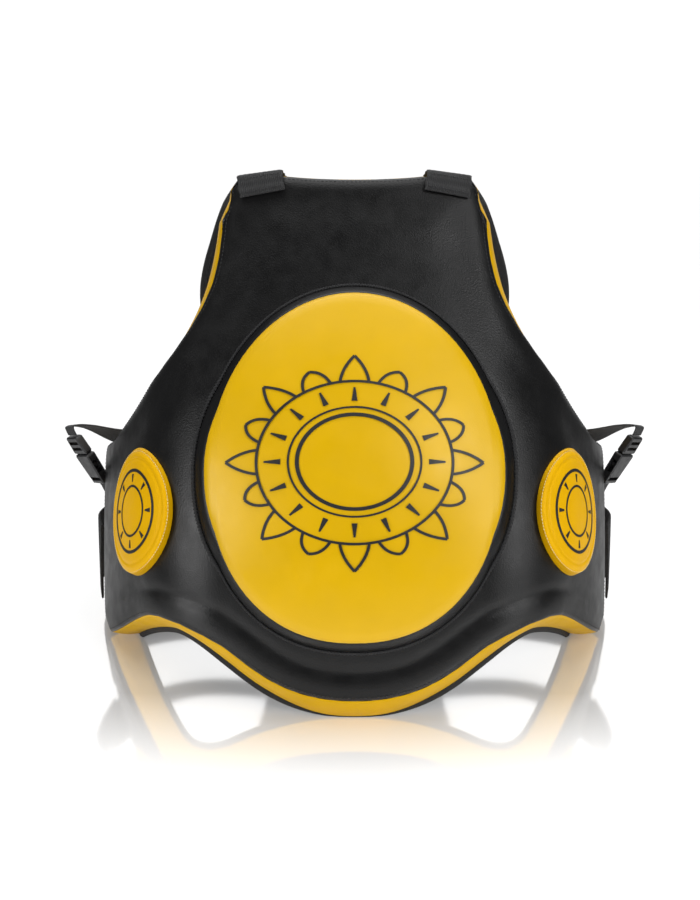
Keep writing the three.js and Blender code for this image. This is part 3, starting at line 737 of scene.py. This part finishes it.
def capped_disc(name, front, back, places, material, sharp=50):
    """A round closed piece from polar grids whose first radius is a small hole that is closed."""
    columns, rows = front.shape[:2]
    piece_points = np.concatenate([front.reshape(-1, 3), back.reshape(-1, 3)])
    count = columns * rows
    faces = grid_faces(columns, rows, wrap=True, flip=True) + grid_faces(columns, rows, start=count, wrap=True)
    for i in range(columns):
        n = (i + 1) % columns
        faces.append([i * rows + rows - 1, n * rows + rows - 1, count + n * rows + rows - 1, count + i * rows + rows - 1])
    faces.append([i * rows for i in range(columns)])
    faces.append([count + i * rows for i in range(columns)][::-1])
    pattern = np.concatenate([places.reshape(-1, 2)] * 2)
    piece = mesh_piece(name, piece_points, faces, material, pattern, sharp)
    if signed_volume(piece) < 0:
        piece.data.flip_normals()
    return piece


def make_belly_target():
    radii = np.concatenate([np.linspace(0.01, 0.9, 40), np.linspace(0.912, 1.0, 12)])
    place = lambda a, r: belly_place(a, r)

    def height(a, r, p):
        soft = rumple(p, 55 * MM, 0.7 * MM, 2.0) * (1 - r ** 6)
        pucker = 0.10 * MM * np.sin(a * 90) * smoothstep(r, 0.93, 0.99)
        return BELLY_RIM + belly_dome(r) + soft + pucker

    places, front = polar(radii, place, height)
    _, back = polar(radii, place, lambda a, r, p: height(a, r, p) - 1.8 * MM)
    cover = capped_disc("belly_leather", front, back, places, MATERIALS["yellow_leather"])
    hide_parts("belly_pad_cover")
    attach(cover, "vest")

    _, top = polar(radii[::3], lambda a, r: belly_place(a, r, -6 * MM),
                   lambda a, r, p: BELLY_RIM + belly_dome(r) - 3.5 * MM)
    places, base = polar(radii[::3], lambda a, r: belly_place(a, r, -6 * MM), lambda a, r, p: BELLY_BASE + 0.6 * MM)
    foam = capped_disc("belly_foam", top, base, places, MATERIALS["foam"])
    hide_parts("belly_pad_foam")
    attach(foam, "vest")


def make_belly_wall():
    """The black wall round the belly target, and the ribbed seam at its foot."""
    angles = np.linspace(0, 2 * np.pi, 3 * SPOKES, endpoint=False)

    def ring(section):
        columns = []
        for grow, t in section:
            s, h = belly_place(angles, 1.0, grow)
            columns.append(body_point(s, h, t))
        return np.stack(columns, 1)

    outer, inner = [], []
    for share in np.linspace(0, 1, 9):
        swell = 1.8 * MM * math.sin(math.pi * share)
        grow = lerp(BELLY_SKIRT - 2 * MM, 0.4 * MM, share) + swell
        t = lerp(BELLY_BASE - 1.2 * MM, BELLY_RIM + 0.4 * MM, share)
        outer.append((grow, t))
        inner.append((grow - 2.4 * MM, t))
    outline = np.cumsum(np.full(len(angles), 2.6 * MM))
    pattern = np.stack(np.meshgrid(outline, np.arange(len(outer)) * 2.0 * MM, indexing="ij"), -1)
    wall = slab("belly_wall_leather", ring(outer), ring(inner), MATERIALS["black_leather"], pattern, wrap=True)
    if signed_volume(wall) < 0:
        wall.data.flip_normals()
    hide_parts("belly_pad_wall")
    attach(wall, "vest")

    ribs = 330
    around = np.linspace(0, 2 * np.pi, ribs * 4, endpoint=False)
    columns = []
    for spoke in range(8):
        turn = 2 * math.pi * spoke / 8
        girth = (1.5 + 0.42 * np.cos(around * ribs + turn)) * MM
        s, h = belly_place(around, 1.0, 0.0)
        grow = BELLY_SKIRT - 1.0 * MM + girth * math.cos(turn)
        outward = normalize(np.stack([np.cos(around) * BELLY["up"], np.sin(around) * BELLY["half_width"]], -1))
        columns.append(body_point(s + outward[:, 0] * grow, h + outward[:, 1] * grow,
                                  BELLY_BASE + 0.4 * MM + girth * math.sin(turn)))
    points = np.stack(columns, 1)
    faces = [[i * 8 + j, ((i + 1) % len(around)) * 8 + j, ((i + 1) % len(around)) * 8 + (j + 1) % 8, i * 8 + (j + 1) % 8]
             for i in range(len(around)) for j in range(8)]
    seam = mesh_piece("belly_seam_cord", points.reshape(-1, 3), faces, MATERIALS["binding_cloth"],
                      np.zeros((len(around) * 8, 2)), sharp=80)
    if signed_volume(seam) < 0:
        seam.data.flip_normals()
    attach(seam, "vest")


def make_belly_print():
    """A plain generic mark: a double ring with short tapering rays, wider than it is tall."""
    middle = BELLY["height"] + 4 * MM
    stretch = 1.12

    def spot(radius, turn):
        return np.array([stretch * radius * MM * math.cos(turn), middle + radius * MM * math.sin(turn)])

    def ring(radius):
        return [spot(radius, turn) for turn in np.linspace(0, 2 * math.pi, 121)]

    strokes = [(ring(44), 3.4 * MM), (ring(51), 1.8 * MM), (ring(76), 2.4 * MM)]
    rays = 16
    for k in range(rays):
        turn = 2 * math.pi * k / rays
        tip = spot(101 if k % 2 == 0 else 92, turn)
        for side in (-1, 1):
            foot = spot(76, turn + side * math.radians(8.5))
            bow = spot(89, turn + side * math.radians(6.5))
            strokes.append((bezier(foot, bow, tip, steps=9), 2.6 * MM))
        strokes.append((bezier(spot(57, turn), spot(70, turn), steps=4), np.linspace(5.0, 1.6, 4) * MM))
    print_piece("belly_print", belly_surface, strokes, lift=0.9 * MM)


# ---------------------------------------------------------------- side targets

def across_surface(distance, t):
    """The pattern's s at a distance across that is measured along the surface at height t."""
    s = np.asarray(distance, float)
    for _ in range(30):
        s = distance - t * plan_point(s)[2]
    return s


def target_height(share, angle):
    """Height of a side target: a rolled rim, a sewn step inside it, and a faint crown."""
    base = COVER_TOP + 1.6 * MM + TARGET["wedge"] * (1 - np.sin(angle) * share)
    roll = np.sqrt(np.clip(1 - np.clip((share - 0.88) / 0.12, 0, 1) ** 2, 0, 1))
    step = np.exp(-((share - 0.855) / 0.03) ** 2)
    return base + 4.4 * MM * roll - 0.8 * MM * step + 2.0 * MM * (1 - share ** 2)


def target_point(side, share, angle, lift=0.0, height=target_height):
    t = height(share, angle) + lift
    across = across_surface(TARGET["across"] + TARGET["radius"] * share * np.cos(angle), t)
    up = TARGET["height"] + TARGET["radius"] * share * np.sin(angle)
    return body_point(across, up, t) * [side, 1, 1]


def polar_grid(radii, surface):
    """Grid of points of surface(share, angle) over (angle, radius), and its pattern places."""
    angles = np.linspace(0, 2 * np.pi, SPOKES, endpoint=False)
    a, r = np.meshgrid(angles, radii, indexing="ij")
    return TARGET["radius"] * np.stack([r * np.cos(a), r * np.sin(a)], -1), surface(r, a)


def make_side_target(hand, side):
    radii = np.concatenate([np.linspace(0.02, 0.75, 14), np.linspace(0.77, 1.0, 22)])
    places, front = polar_grid(radii, lambda r, a: target_point(side, r, a))
    _, back = polar_grid(radii, lambda r, a: target_point(side, r, a, -1.6 * MM))
    cover = capped_disc(f"target_leather_{hand}", front, back, places, MATERIALS["target_leather"])
    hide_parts(f"side_target_cover_{hand}")
    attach(cover, "vest")

    outer = lambda share, angle: target_height(share, angle) - 3 * MM
    under = lambda share, angle: np.full(np.shape(share), COVER_TOP + 0.6 * MM)
    places, top = polar_grid(radii[::3] * 0.96, lambda r, a: target_point(side, r, a, height=outer))
    _, base = polar_grid(radii[::3] * 0.96, lambda r, a: target_point(side, r, a, height=under))
    foam = capped_disc(f"target_foam_{hand}", top, base, places, MATERIALS["foam"])
    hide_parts(f"side_target_foam_{hand}")
    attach(foam, "vest")

    wall_shares = np.linspace(0, 1, 7)
    low = lambda share, angle: np.full(np.shape(share), COVER_TOP - 0.4 * MM)
    rim = lambda share, angle: target_height(np.ones(np.shape(share)), angle) + 0.6 * MM
    angles = np.linspace(0, 2 * np.pi, SPOKES, endpoint=False)
    foot = target_point(side, 1.045, angles, height=low)
    head = target_point(side, 1.0, angles, height=rim)
    outside = np.stack([lerp(foot, head, share) for share in wall_shares], 1)
    inside = outside + normalize(target_point(side, 0, angles) - outside[:, 3])[:, None] * 1.6 * MM
    pattern = np.stack(np.meshgrid(angles * TARGET["radius"], wall_shares * 8 * MM, indexing="ij"), -1)
    wall = slab(f"target_wall_{hand}", outside, inside, MATERIALS["target_leather"], pattern, wrap=True)
    if signed_volume(wall) < 0:
        wall.data.flip_normals()
    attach(wall, "vest")

    def surface(x, y, lift):
        return target_point(side, np.hypot(x, y) / TARGET["radius"], np.arctan2(y, x), lift)

    centre = (0.0, 0.0)
    strokes = [(arc_line(centre, 41 * MM, steps=73), 3.2 * MM), (arc_line(centre, 25 * MM, steps=57), 2.4 * MM)]
    for k in range(8):
        turn = 2 * math.pi * k / 8
        line = [np.array([r * MM * math.cos(turn), r * MM * math.sin(turn)]) for r in (29, 37)]
        strokes.append((bezier(*line, steps=4), np.linspace(1.6, 4.4, 4) * MM))
    print_piece(f"target_print_{hand}", surface, strokes, lift=0.35 * MM)

    ring = np.linspace(0, 2 * np.pi, 121)
    edge = target_point(side, 0.985, ring, 0.3 * MM)
    normals = normalize(target_point(side, 0.9, ring, 4 * MM) - target_point(side, 0.9, ring))
    stitches(f"target_stitches_{hand}", edge, normals, pitch=3.2 * MM, length=2.5 * MM, material="pale_thread")


# ---------------------------------------------------------------- bands

def band_frames(line, across):
    """Width and outward directions along a line, from a wished width direction at each point."""
    along = normalize(np.gradient(line, axis=0))
    across = np.broadcast_to(np.asarray(across, float), line.shape)
    side = normalize(across - along * np.sum(across * along, -1, keepdims=True))
    return along, side, np.cross(along, side)


def band(name, line, across, section, material, sharp=50):
    """A band swept along a line. section is a closed list of (width, outward) offsets."""
    line = np.asarray(line, float)
    _, side, out = band_frames(line, across)
    run = np.concatenate([[0], np.cumsum(np.linalg.norm(np.diff(line, axis=0), axis=1))])
    section = np.asarray(section(run / run[-1]) if callable(section) else [section] * len(line), float)
    points = line[:, None] + side[:, None] * section[..., :1] + out[:, None] * section[..., 1:]
    size = section.shape[1]
    faces = [[i * size + j, (i + 1) * size + j, (i + 1) * size + (j + 1) % size, i * size + (j + 1) % size]
             for i in range(len(line) - 1) for j in range(size)]
    faces += [list(range(size))[::-1], [(len(line) - 1) * size + j for j in range(size)]]
    pattern = np.stack([section[..., 0], np.broadcast_to(run[:, None], section.shape[:2])], -1)
    piece = mesh_piece(name, points.reshape(-1, 3), faces, material, pattern.reshape(-1, 2), sharp)
    if signed_volume(piece) < 0:
        piece.data.flip_normals()
    return piece


def flat_section(width, thickness, ribs=0, depth=0.0, steps=10):
    """Section of webbing: rounded selvedges, and shallow ribs across its faces."""
    half, edge = width / 2, thickness / 2
    face = np.linspace(-1, 1, steps)
    height = edge * (1 - 0.25 * np.abs(face) ** 8) + depth * np.cos(face * math.pi * ribs)
    top = [(w * (half - edge * 0.6), h) for w, h in zip(face, height)]
    bottom = [(w, -h) for w, h in top[::-1]]
    return top + [(half, edge * 0.35), (half, -edge * 0.35)] + bottom + [(-half, -edge * 0.35), (-half, edge * 0.35)]


def mirrored(points, side):
    return np.asarray(points, float) * [side, 1, 1]


def panel_frame(x, y, z):
    """A place in the part's own drawing, whose tip is at y = 0, in frame metres."""
    return (x * MM, y * MM + PANEL_Y, z * MM)


def make_strap_end(hand, side):
    """The webbing end, folded over the top edge and sewn down."""
    slant = 0.14
    places = [(-32, 41.4), (-24, 41.6), (-17, 41.6), (-12, 40.6), (-9.6, 36), (-8.4, 24), (-7.4, 10), (-7.2, 2),
              (-9, -2.4), (-15, -4.6)]
    line = catmull([body_point(side * (93 + slant * h) * MM, PANEL_HEIGHT + h * MM, t * MM) for h, t in places], 70)
    across = (1, side * 0.07, side * -slant)
    wave = lambda shares: np.array(flat_section(46 * MM, 2.4 * MM, 9, 0.14 * MM, 28))[None] + np.stack(
        [0.5 * MM * np.sin(shares * 37), 0.25 * MM * np.sin(shares * 51 + 1)], -1)[:, None]
    piece = band(f"strap_end_{hand}", line, across, wave, MATERIALS["webbing"])
    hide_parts(f"strap_anchor_{hand}")
    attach(piece, "vest")
    _, sides, out = band_frames(line, across)
    facing = 1 if out[5][1] < 0 else -1
    for place, i in (("low", 4), ("high", 17)):
        row = line[i] + sides[i] * np.linspace(-20.5, 20.5, 20)[:, None] * MM + out[i] * facing * 1.3 * MM
        stitches(f"strap_end_stitches_{place}_{hand}", row, np.tile(out[10] * facing, (20, 1)), pitch=3.4 * MM)


def pad_section(width, thickness, binding=7 * MM, flat=1.7 * MM, steps=18):
    """Section of a padded strap: flat bound edges and a swollen middle."""
    half = width / 2
    face = np.linspace(-1, 1, steps)
    inner = (half - binding) / half
    swell = np.clip(1 - np.abs(face / inner) ** 2.6, 0, 1) ** 0.55
    height = flat + (thickness / 2 - flat) * swell - 0.5 * MM * np.exp(-((np.abs(face) - inner) / 0.05) ** 2)
    top = [(w * (half - 1 * MM), h) for w, h in zip(face, height)]
    bottom = [(w, -h) for w, h in top[::-1]]
    return top + [(half, flat * 0.5), (half, -flat * 0.5)] + bottom + [(-half, -flat * 0.5), (-half, flat * 0.5)]


def make_shoulder_strap(hand, side):
    start = body_point(92 * MM, PANEL_HEIGHT, -12 * MM)
    route = [(0.097, start[1] + 4 * MM, start[2] - 14 * MM), panel_frame(114, 283, 448), panel_frame(131, 296, 405),
             panel_frame(144, 304, 360), panel_frame(142, 311, 315), panel_frame(120, 318, 273)]
    line = catmull(mirrored(route, side), 90)
    share = np.linspace(0, 1, len(line))[:, None]
    across = np.concatenate([np.ones_like(share), 0 * share, side * lerp(0.2, -0.3, share)], 1)
    piece = band(f"shoulder_pad_{hand}", line, across, pad_section(60 * MM, 12 * MM), MATERIALS["pad_cloth"])
    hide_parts(f"shoulder_strap_{hand}")
    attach(piece, "vest")
    _, sides, out = band_frames(line, across)
    for edge, place in ((-1, "inner"), (1, "outer")):
        for face in (-1, 1):
            row = line + sides * edge * 23.5 * MM + out * face * 2.0 * MM
            label = "front" if face < 0 else "rear"
            stitches(f"shoulder_stitches_{place}_{label}_{hand}", row, out * face, pitch=5 * MM)


def make_yoke():
    """The padded back yoke, with bound edges and three sewn channels."""
    columns, rows = 90, 60
    u, v = np.meshgrid(np.linspace(-1, 1, columns), np.linspace(0, 1, rows), indexing="ij")
    half = YOKE["half_width"] * lerp(0.8, 1, v)
    x = u * half
    top = YOKE["top"] - 8 * MM * (1 - u ** 2)
    z = lerp(YOKE["bottom"], top, v)
    to_edge = np.minimum(np.minimum(half - np.abs(x), z - YOKE["bottom"]), top - z)
    swell = np.sqrt(np.clip(1 - (1 - np.clip((to_edge - 6 * MM) / (16 * MM), 0, 1)) ** 2, 0, 1))
    channel = sum(np.exp(-((x - place * MM) / (3 * MM)) ** 2) for place in (-54, 0, 54))
    height = 1.6 * MM + 4.3 * MM * swell * (1 - 0.75 * np.clip(channel, 0, 1))
    height = height + np.array([noise.noise(Vector((a * 30, b * 30, 3))) for a, b in zip(x.ravel(), z.ravel())]).reshape(x.shape) * 0.5 * MM * swell
    middle = YOKE["depth"] + PANEL_Y
    front = np.stack([x, middle - height, z], -1)
    back = np.stack([x, middle + height, z], -1)
    piece = slab("yoke_pad", front, back, MATERIALS["pad_cloth"], np.stack([x, z], -1))
    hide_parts("back_yoke")
    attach(piece, "vest")
    for k, place in enumerate((-54, 0, 54)):
        z_line = np.linspace(YOKE["bottom"] + 8 * MM, YOKE["top"] - 16 * MM, 12)
        row = np.stack([np.full(12, place * MM), np.full(12, middle + 2.7 * MM), z_line], -1)
        stitches(f"yoke_stitches_{k}", row, np.tile([0, 1, 0], (12, 1)), pitch=4.5 * MM)


# ---------------------------------------------------------------- buckles and side webbing

BUCKLE_CENTRE = panel_frame(306, 241, 185)
BUCKLE_AXIS = np.array([0.46, 0, 0.888]) / math.hypot(0.46, 0.888)
BUCKLE_ACROSS = np.array([0.57, 0.767, -0.295])


def buckle_axes(side):
    """Across, through and up directions of a buckle."""
    up = BUCKLE_AXIS * [side, 1, 1]
    face = np.array([side * 0.8, -0.6, 0.0])
    face = normalize(face - up * (face @ up))
    across = np.cross(-face, up)
    return across, -face, up


def buckle_spot(side, x, y, z):
    across, through, up = buckle_axes(side)
    centre = np.array(BUCKLE_CENTRE) * [side, 1, 1]
    return centre + across * x * MM + through * y * MM + up * z * MM


def make_side_webbing(hand, side):
    line = catmull([
        buckle_spot(side, 0, 0, 24.2), buckle_spot(side, 0, 2, 34),
        *mirrored([panel_frame(301, 259, 210), panel_frame(275, 289, 188), panel_frame(242, 310, 179),
                   panel_frame(203, 322, 177), panel_frame(150, 330.4, 182), panel_frame(96, 330.4, 188)], side),
    ], 140)
    share = np.linspace(0, 1, len(line))[:, None]
    turn = smoothstep(share, 0, 0.6)
    across = lerp(BUCKLE_ACROSS * [side, 1, 1], np.array([0, 0, -1.0]), turn)
    piece = band(f"side_strap_{hand}", line, across, flat_section(25 * MM, 1.8 * MM, 5, 0.1 * MM, 20), MATERIALS["webbing"])
    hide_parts(f"side_webbing_{hand}")
    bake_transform(piece)


def make_buckle_tab(hand, side):
    line = catmull([
        buckle_spot(side, 0, 0, -40.5), buckle_spot(side, 0, 0.3, -45),
        *mirrored([panel_frame(279, 238.5, 132), panel_frame(267, 229.8, 126)], side),
    ], 40)
    share = np.linspace(0, 1, len(line))[:, None] ** 2
    across = lerp(BUCKLE_ACROSS * [side, 1, 1], np.array([side * 0.1, 0.4, 0.9]), share)
    piece = band(f"tab_{hand}", line, across, flat_section(23 * MM, 1.8 * MM, 5, 0.1 * MM, 20), MATERIALS["webbing"])
    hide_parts(f"buckle_tab_{hand}")
    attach(piece, "vest")


def finish_buckles():
    """The moulded pieces keep their CAD shape, with softened edges."""
    for name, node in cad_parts.items():
        if not name.startswith("buckle_") or "tab" in name:
            continue
        node.data.materials.clear()
        node.data.materials.append(MATERIALS["plastic"])
        rounding = node.modifiers.new("rounding", "BEVEL")
        rounding.width = 0.6 * MM
        rounding.segments = 3
        rounding.limit_method = "ANGLE"
        rounding.angle_limit = math.radians(28)


# ---------------------------------------------------------------- waist belt

def belt_route():
    points = [(286, 236), (296, 262), (276, 300), (208, 326), (110, 336), (0, 338), (-110, 336), (-208, 326)]
    return catmull([panel_frame(x, y, 0) for x, y in points], 600)


BELT_ROUTE = belt_route()
HINGE_SHARE, END_SHARE = 0.52, 0.8
LAYER = 3 * MM + 2 * 1.2 * MM + 3 * 0.3 * MM


def outer_layer(share):
    return LAYER * smoothstep(share, 0.3, 0.43)


def wing_rear_y(z):
    """The depth of a wing's rear edge at each height above the floor."""
    h = np.full(np.shape(z), WING_MIDDLE)
    for _ in range(8):
        h = h + (z - body_point(WING_REACH, h, 20 * MM)[..., 2]) / math.cos(LEAN)
    return body_point(WING_REACH, h, 20 * MM)[..., 1]


def belt_piece(name, side, low_share, high_share, lift, thickness, material, node, body, low=0.0, high=1.0,
               columns=120, rounded=2.5 * MM, hinged=False):
    """A stretch of the belt, with rounded long edges. A hinged piece is thin at the flap's fold."""
    shares = np.linspace(low_share, high_share, columns)
    line = resample(BELT_ROUTE, shares)
    ahead = resample(BELT_ROUTE, np.clip(shares + 1e-3, 0, 1))
    behind = resample(BELT_ROUTE, np.clip(shares - 1e-3, 0, 1))
    along = normalize(ahead - behind)
    out = np.stack([along[:, 1], -along[:, 0], np.zeros(columns)], -1)
    v = 0.5 - 0.5 * np.cos(np.linspace(0, np.pi, 25))
    z = BELT["bottom"] + BELT["height"] * lerp(low, high, v)
    slant = (wing_rear_y(z) + 2 * MM - BELT_ROUTE[0, 1])[None] * ((1 - np.clip(shares / 0.13, 0, 1)) ** 1.5)[:, None]
    reach = np.minimum(z - z[0], z[-1] - z)
    edge = np.sqrt(np.clip(1 - (1 - np.clip(reach / rounded, 0, 1)) ** 2, 0.05, 1))
    fold = lerp(0.2, 1, smoothstep(np.abs(shares - HINGE_SHARE), 0.001, 0.022)) if hinged else np.ones(columns)
    half = thickness / 2 * edge[None] * fold[:, None]
    middle = lift(shares)[:, None] + thickness / 2

    def face(offset):
        grid = line[:, None] + out[:, None] * offset[..., None]
        grid = np.broadcast_to(grid, (columns, len(v), 3)).copy()
        grid[..., 2] = z[None]
        grid[..., 1] += slant
        return grid * [side, 1, 1]

    run = np.broadcast_to((shares * 562 * MM)[:, None], (columns, len(v)))
    pattern = np.stack([np.broadcast_to(z[None], run.shape), run], -1)
    piece = slab(name, face(middle + half), face(middle - half), material, pattern)
    if signed_volume(piece) < 0:
        piece.data.flip_normals()
    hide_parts(node)
    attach(piece, body)
    return piece


def make_belt():
    flat = lambda shares: np.zeros(len(shares))
    right = belt_piece("belt_band_right", 1, 0, END_SHARE, flat, 3 * MM, MATERIALS["elastic"], "belt_right", "vest")
    left = belt_piece("belt_band_left", -1, 0, HINGE_SHARE - 0.002, outer_layer, 3 * MM, MATERIALS["elastic"],
                      "belt_left", "vest", hinged=True)
    flap = belt_piece("belt_flap_band", -1, HINGE_SHARE, END_SHARE, outer_layer, 3 * MM, MATERIALS["elastic"],
                      "belt_flap", "belt_flap", columns=60, hinged=True)
    patch = dict(low=0.06, high=0.94, columns=50, rounded=0.8 * MM)
    loop = belt_piece("loop_pile", -1, 0.535, 0.785, lambda s: np.full(len(s), 3.3 * MM), 1.2 * MM, MATERIALS["loop"],
                      "loop_patch", "vest", **patch)
    hook = belt_piece("hook_pile", -1, 0.535, 0.785, lambda s: np.full(len(s), LAYER - 1.5 * MM), 1.2 * MM,
                      MATERIALS["hook"], "hook_patch", "belt_flap", **patch)


# ---------------------------------------------------------------- stage, light and camera

def make_stage():
    """A pale glossy table under the product. Painted light: it glows white of its own where it is seen. Painted shade:
    its colour and glow fall to grey in front of it and at its sides.
    """
    material, tree, shader = new_material("floor_glow_and_painted_shade", (0.9, 0.9, 0.9), 0.1)
    # Painted light: the floor glows white of its own, standing in for lamp light falling on it.
    shader.inputs["Emission Color"].default_value = (1, 1, 1, 1)
    place = add(tree, "ShaderNodeTexCoord").outputs["Object"]
    split = add(tree, "ShaderNodeSeparateXYZ", Vector=place)
    # Painted shade: a mask of the lit middle. In front and at the sides, the floor's colour and glow fall to grey,
    # standing in for a dark studio.
    front = add(tree, "ShaderNodeMapRange", Value=split.outputs["Y"], From_Min=-0.75, From_Max=-0.45)
    sideways = math_node(tree, "ABSOLUTE", split.outputs["X"])
    spread = math_node(tree, "SUBTRACT", sideways, math_node(tree, "MULTIPLY", split.outputs["Y"], 0.35))
    sides = add(tree, "ShaderNodeMapRange", Value=spread, From_Min=0.5, From_Max=0.75, To_Min=1.0, To_Max=0.0)
    painted_light_mask = math_node(tree, "MULTIPLY", front.outputs["Result"], sides.outputs["Result"])
    mirror = add(tree, "ShaderNodeMapRange", Value=split.outputs["Y"], From_Min=-0.33, From_Max=-0.12, To_Max=0.6)
    tree.links.new(mirror.outputs["Result"], shader.inputs["Metallic"])
    # Painted light: the floor's glow is weaker where it mirrors the product.
    painted_glow = add(tree, "ShaderNodeMapRange", Value=mirror.outputs["Result"], From_Max=0.6, To_Min=0.5, To_Max=0.12)
    tree.links.new(math_node(tree, "MULTIPLY", painted_light_mask, painted_glow.outputs["Result"]), shader.inputs["Emission Strength"])
    # Painted shade: the floor's base colour falls to grey outside the lit middle.
    painted_shade_tint = add(tree, "ShaderNodeMapRange", Value=painted_light_mask, To_Min=0.12, To_Max=0.9)
    painted_shade_grey = add(tree, "ShaderNodeCombineColor", Red=painted_shade_tint.outputs["Result"], Green=painted_shade_tint.outputs["Result"],
               Blue=painted_shade_tint.outputs["Result"])
    tree.links.new(painted_shade_grey.outputs["Color"], shader.inputs["Base Color"])
    smudges = add(tree, "ShaderNodeTexNoise", Vector=place, Scale=3.0, Detail=2.0)
    gloss = add(tree, "ShaderNodeMapRange", Value=smudges.outputs["Fac"], To_Min=0.06, To_Max=0.10)
    tree.links.new(gloss.outputs["Result"], shader.inputs["Roughness"])
    half = 40.0
    floor = mesh_piece("floor", [(-half, -half, 0), (half, -half, 0), (half, half, 0), (-half, half, 0)],
                       [(0, 1, 2, 3)], material)
    floor.location.z = -0.0002


def area_light(name, place, target, size, power):
    data = bpy.data.lights.new(name, "AREA")
    data.shape = "RECTANGLE"
    data.size, data.size_y = size
    data.energy = power
    lamp = bpy.data.objects.new(name, data)
    bpy.context.collection.objects.link(lamp)
    lamp.location = place
    lamp.rotation_euler = (Vector(target) - Vector(place)).to_track_quat("-Z", "Y").to_euler()
    lamp.visible_camera = False


def make_lights():
    world = bpy.data.worlds.new("studio")
    world.use_nodes = True
    tree = world.node_tree
    direction = add(tree, "ShaderNodeTexCoord").outputs["Generated"]
    split = add(tree, "ShaderNodeSeparateXYZ", Vector=direction)
    behind = add(tree, "ShaderNodeMapRange", Value=split.outputs["Y"], From_Min=0.1, From_Max=0.5)
    sideways = math_node(tree, "ABSOLUTE", split.outputs["X"])
    narrow = add(tree, "ShaderNodeMapRange", Value=sideways, From_Min=0.35, From_Max=0.65, To_Min=1.0, To_Max=0.0)
    bright = math_node(tree, "MULTIPLY", behind.outputs["Result"], narrow.outputs["Result"])
    fade = add(tree, "ShaderNodeMapRange", Value=bright, To_Min=0.12, To_Max=1.1)
    background = tree.nodes["Background"]
    background.inputs["Color"].default_value = (1, 1, 1, 1)
    tree.links.new(fade.outputs["Result"], background.inputs["Strength"])
    bpy.context.scene.world = world
    middle = (0, -0.05, 0.25)
    area_light("key", (1.1, -1.4, 1.5), middle, (0.9, 0.9), 17)
    area_light("softbox_left", (-1.4, -1.1, 0.5), middle, (0.8, 0.9), 15)
    area_light("softbox_right", (1.4, -1.1, 0.5), middle, (0.8, 0.9), 10)
    area_light("top", (0, 0.3, 2.2), middle, (2.4, 1.8), 34)


def make_camera():
    data = bpy.data.cameras.new("camera")
    data.sensor_width = 36
    data.lens = 45.45
    data.shift_x = -0.0051
    data.clip_start = 0.05
    camera = bpy.data.objects.new("camera", data)
    bpy.context.collection.objects.link(camera)
    camera.location = (0, PANEL_Y - 0.9585, 0.649)
    camera.rotation_euler = (math.radians(90 - 21), 0, 0)
    bpy.context.scene.camera = camera


# ---------------------------------------------------------------- assembly

make_camera()
make_stage()
make_lights()
make_cover()
make_gusset()
make_binding()
make_lining()
make_panel_foam()
make_edge_stitches()
make_belly_target()
make_belly_wall()
make_belly_print()
make_yoke()
for hand, side in (("left", -1), ("right", 1)):
    make_side_target(hand, side)
    make_strap_end(hand, side)
    make_shoulder_strap(hand, side)
    make_side_webbing(hand, side)
    make_buckle_tab(hand, side)
finish_buckles()
make_belt()

scene = bpy.context.scene
scene.view_settings.view_transform = "Standard"
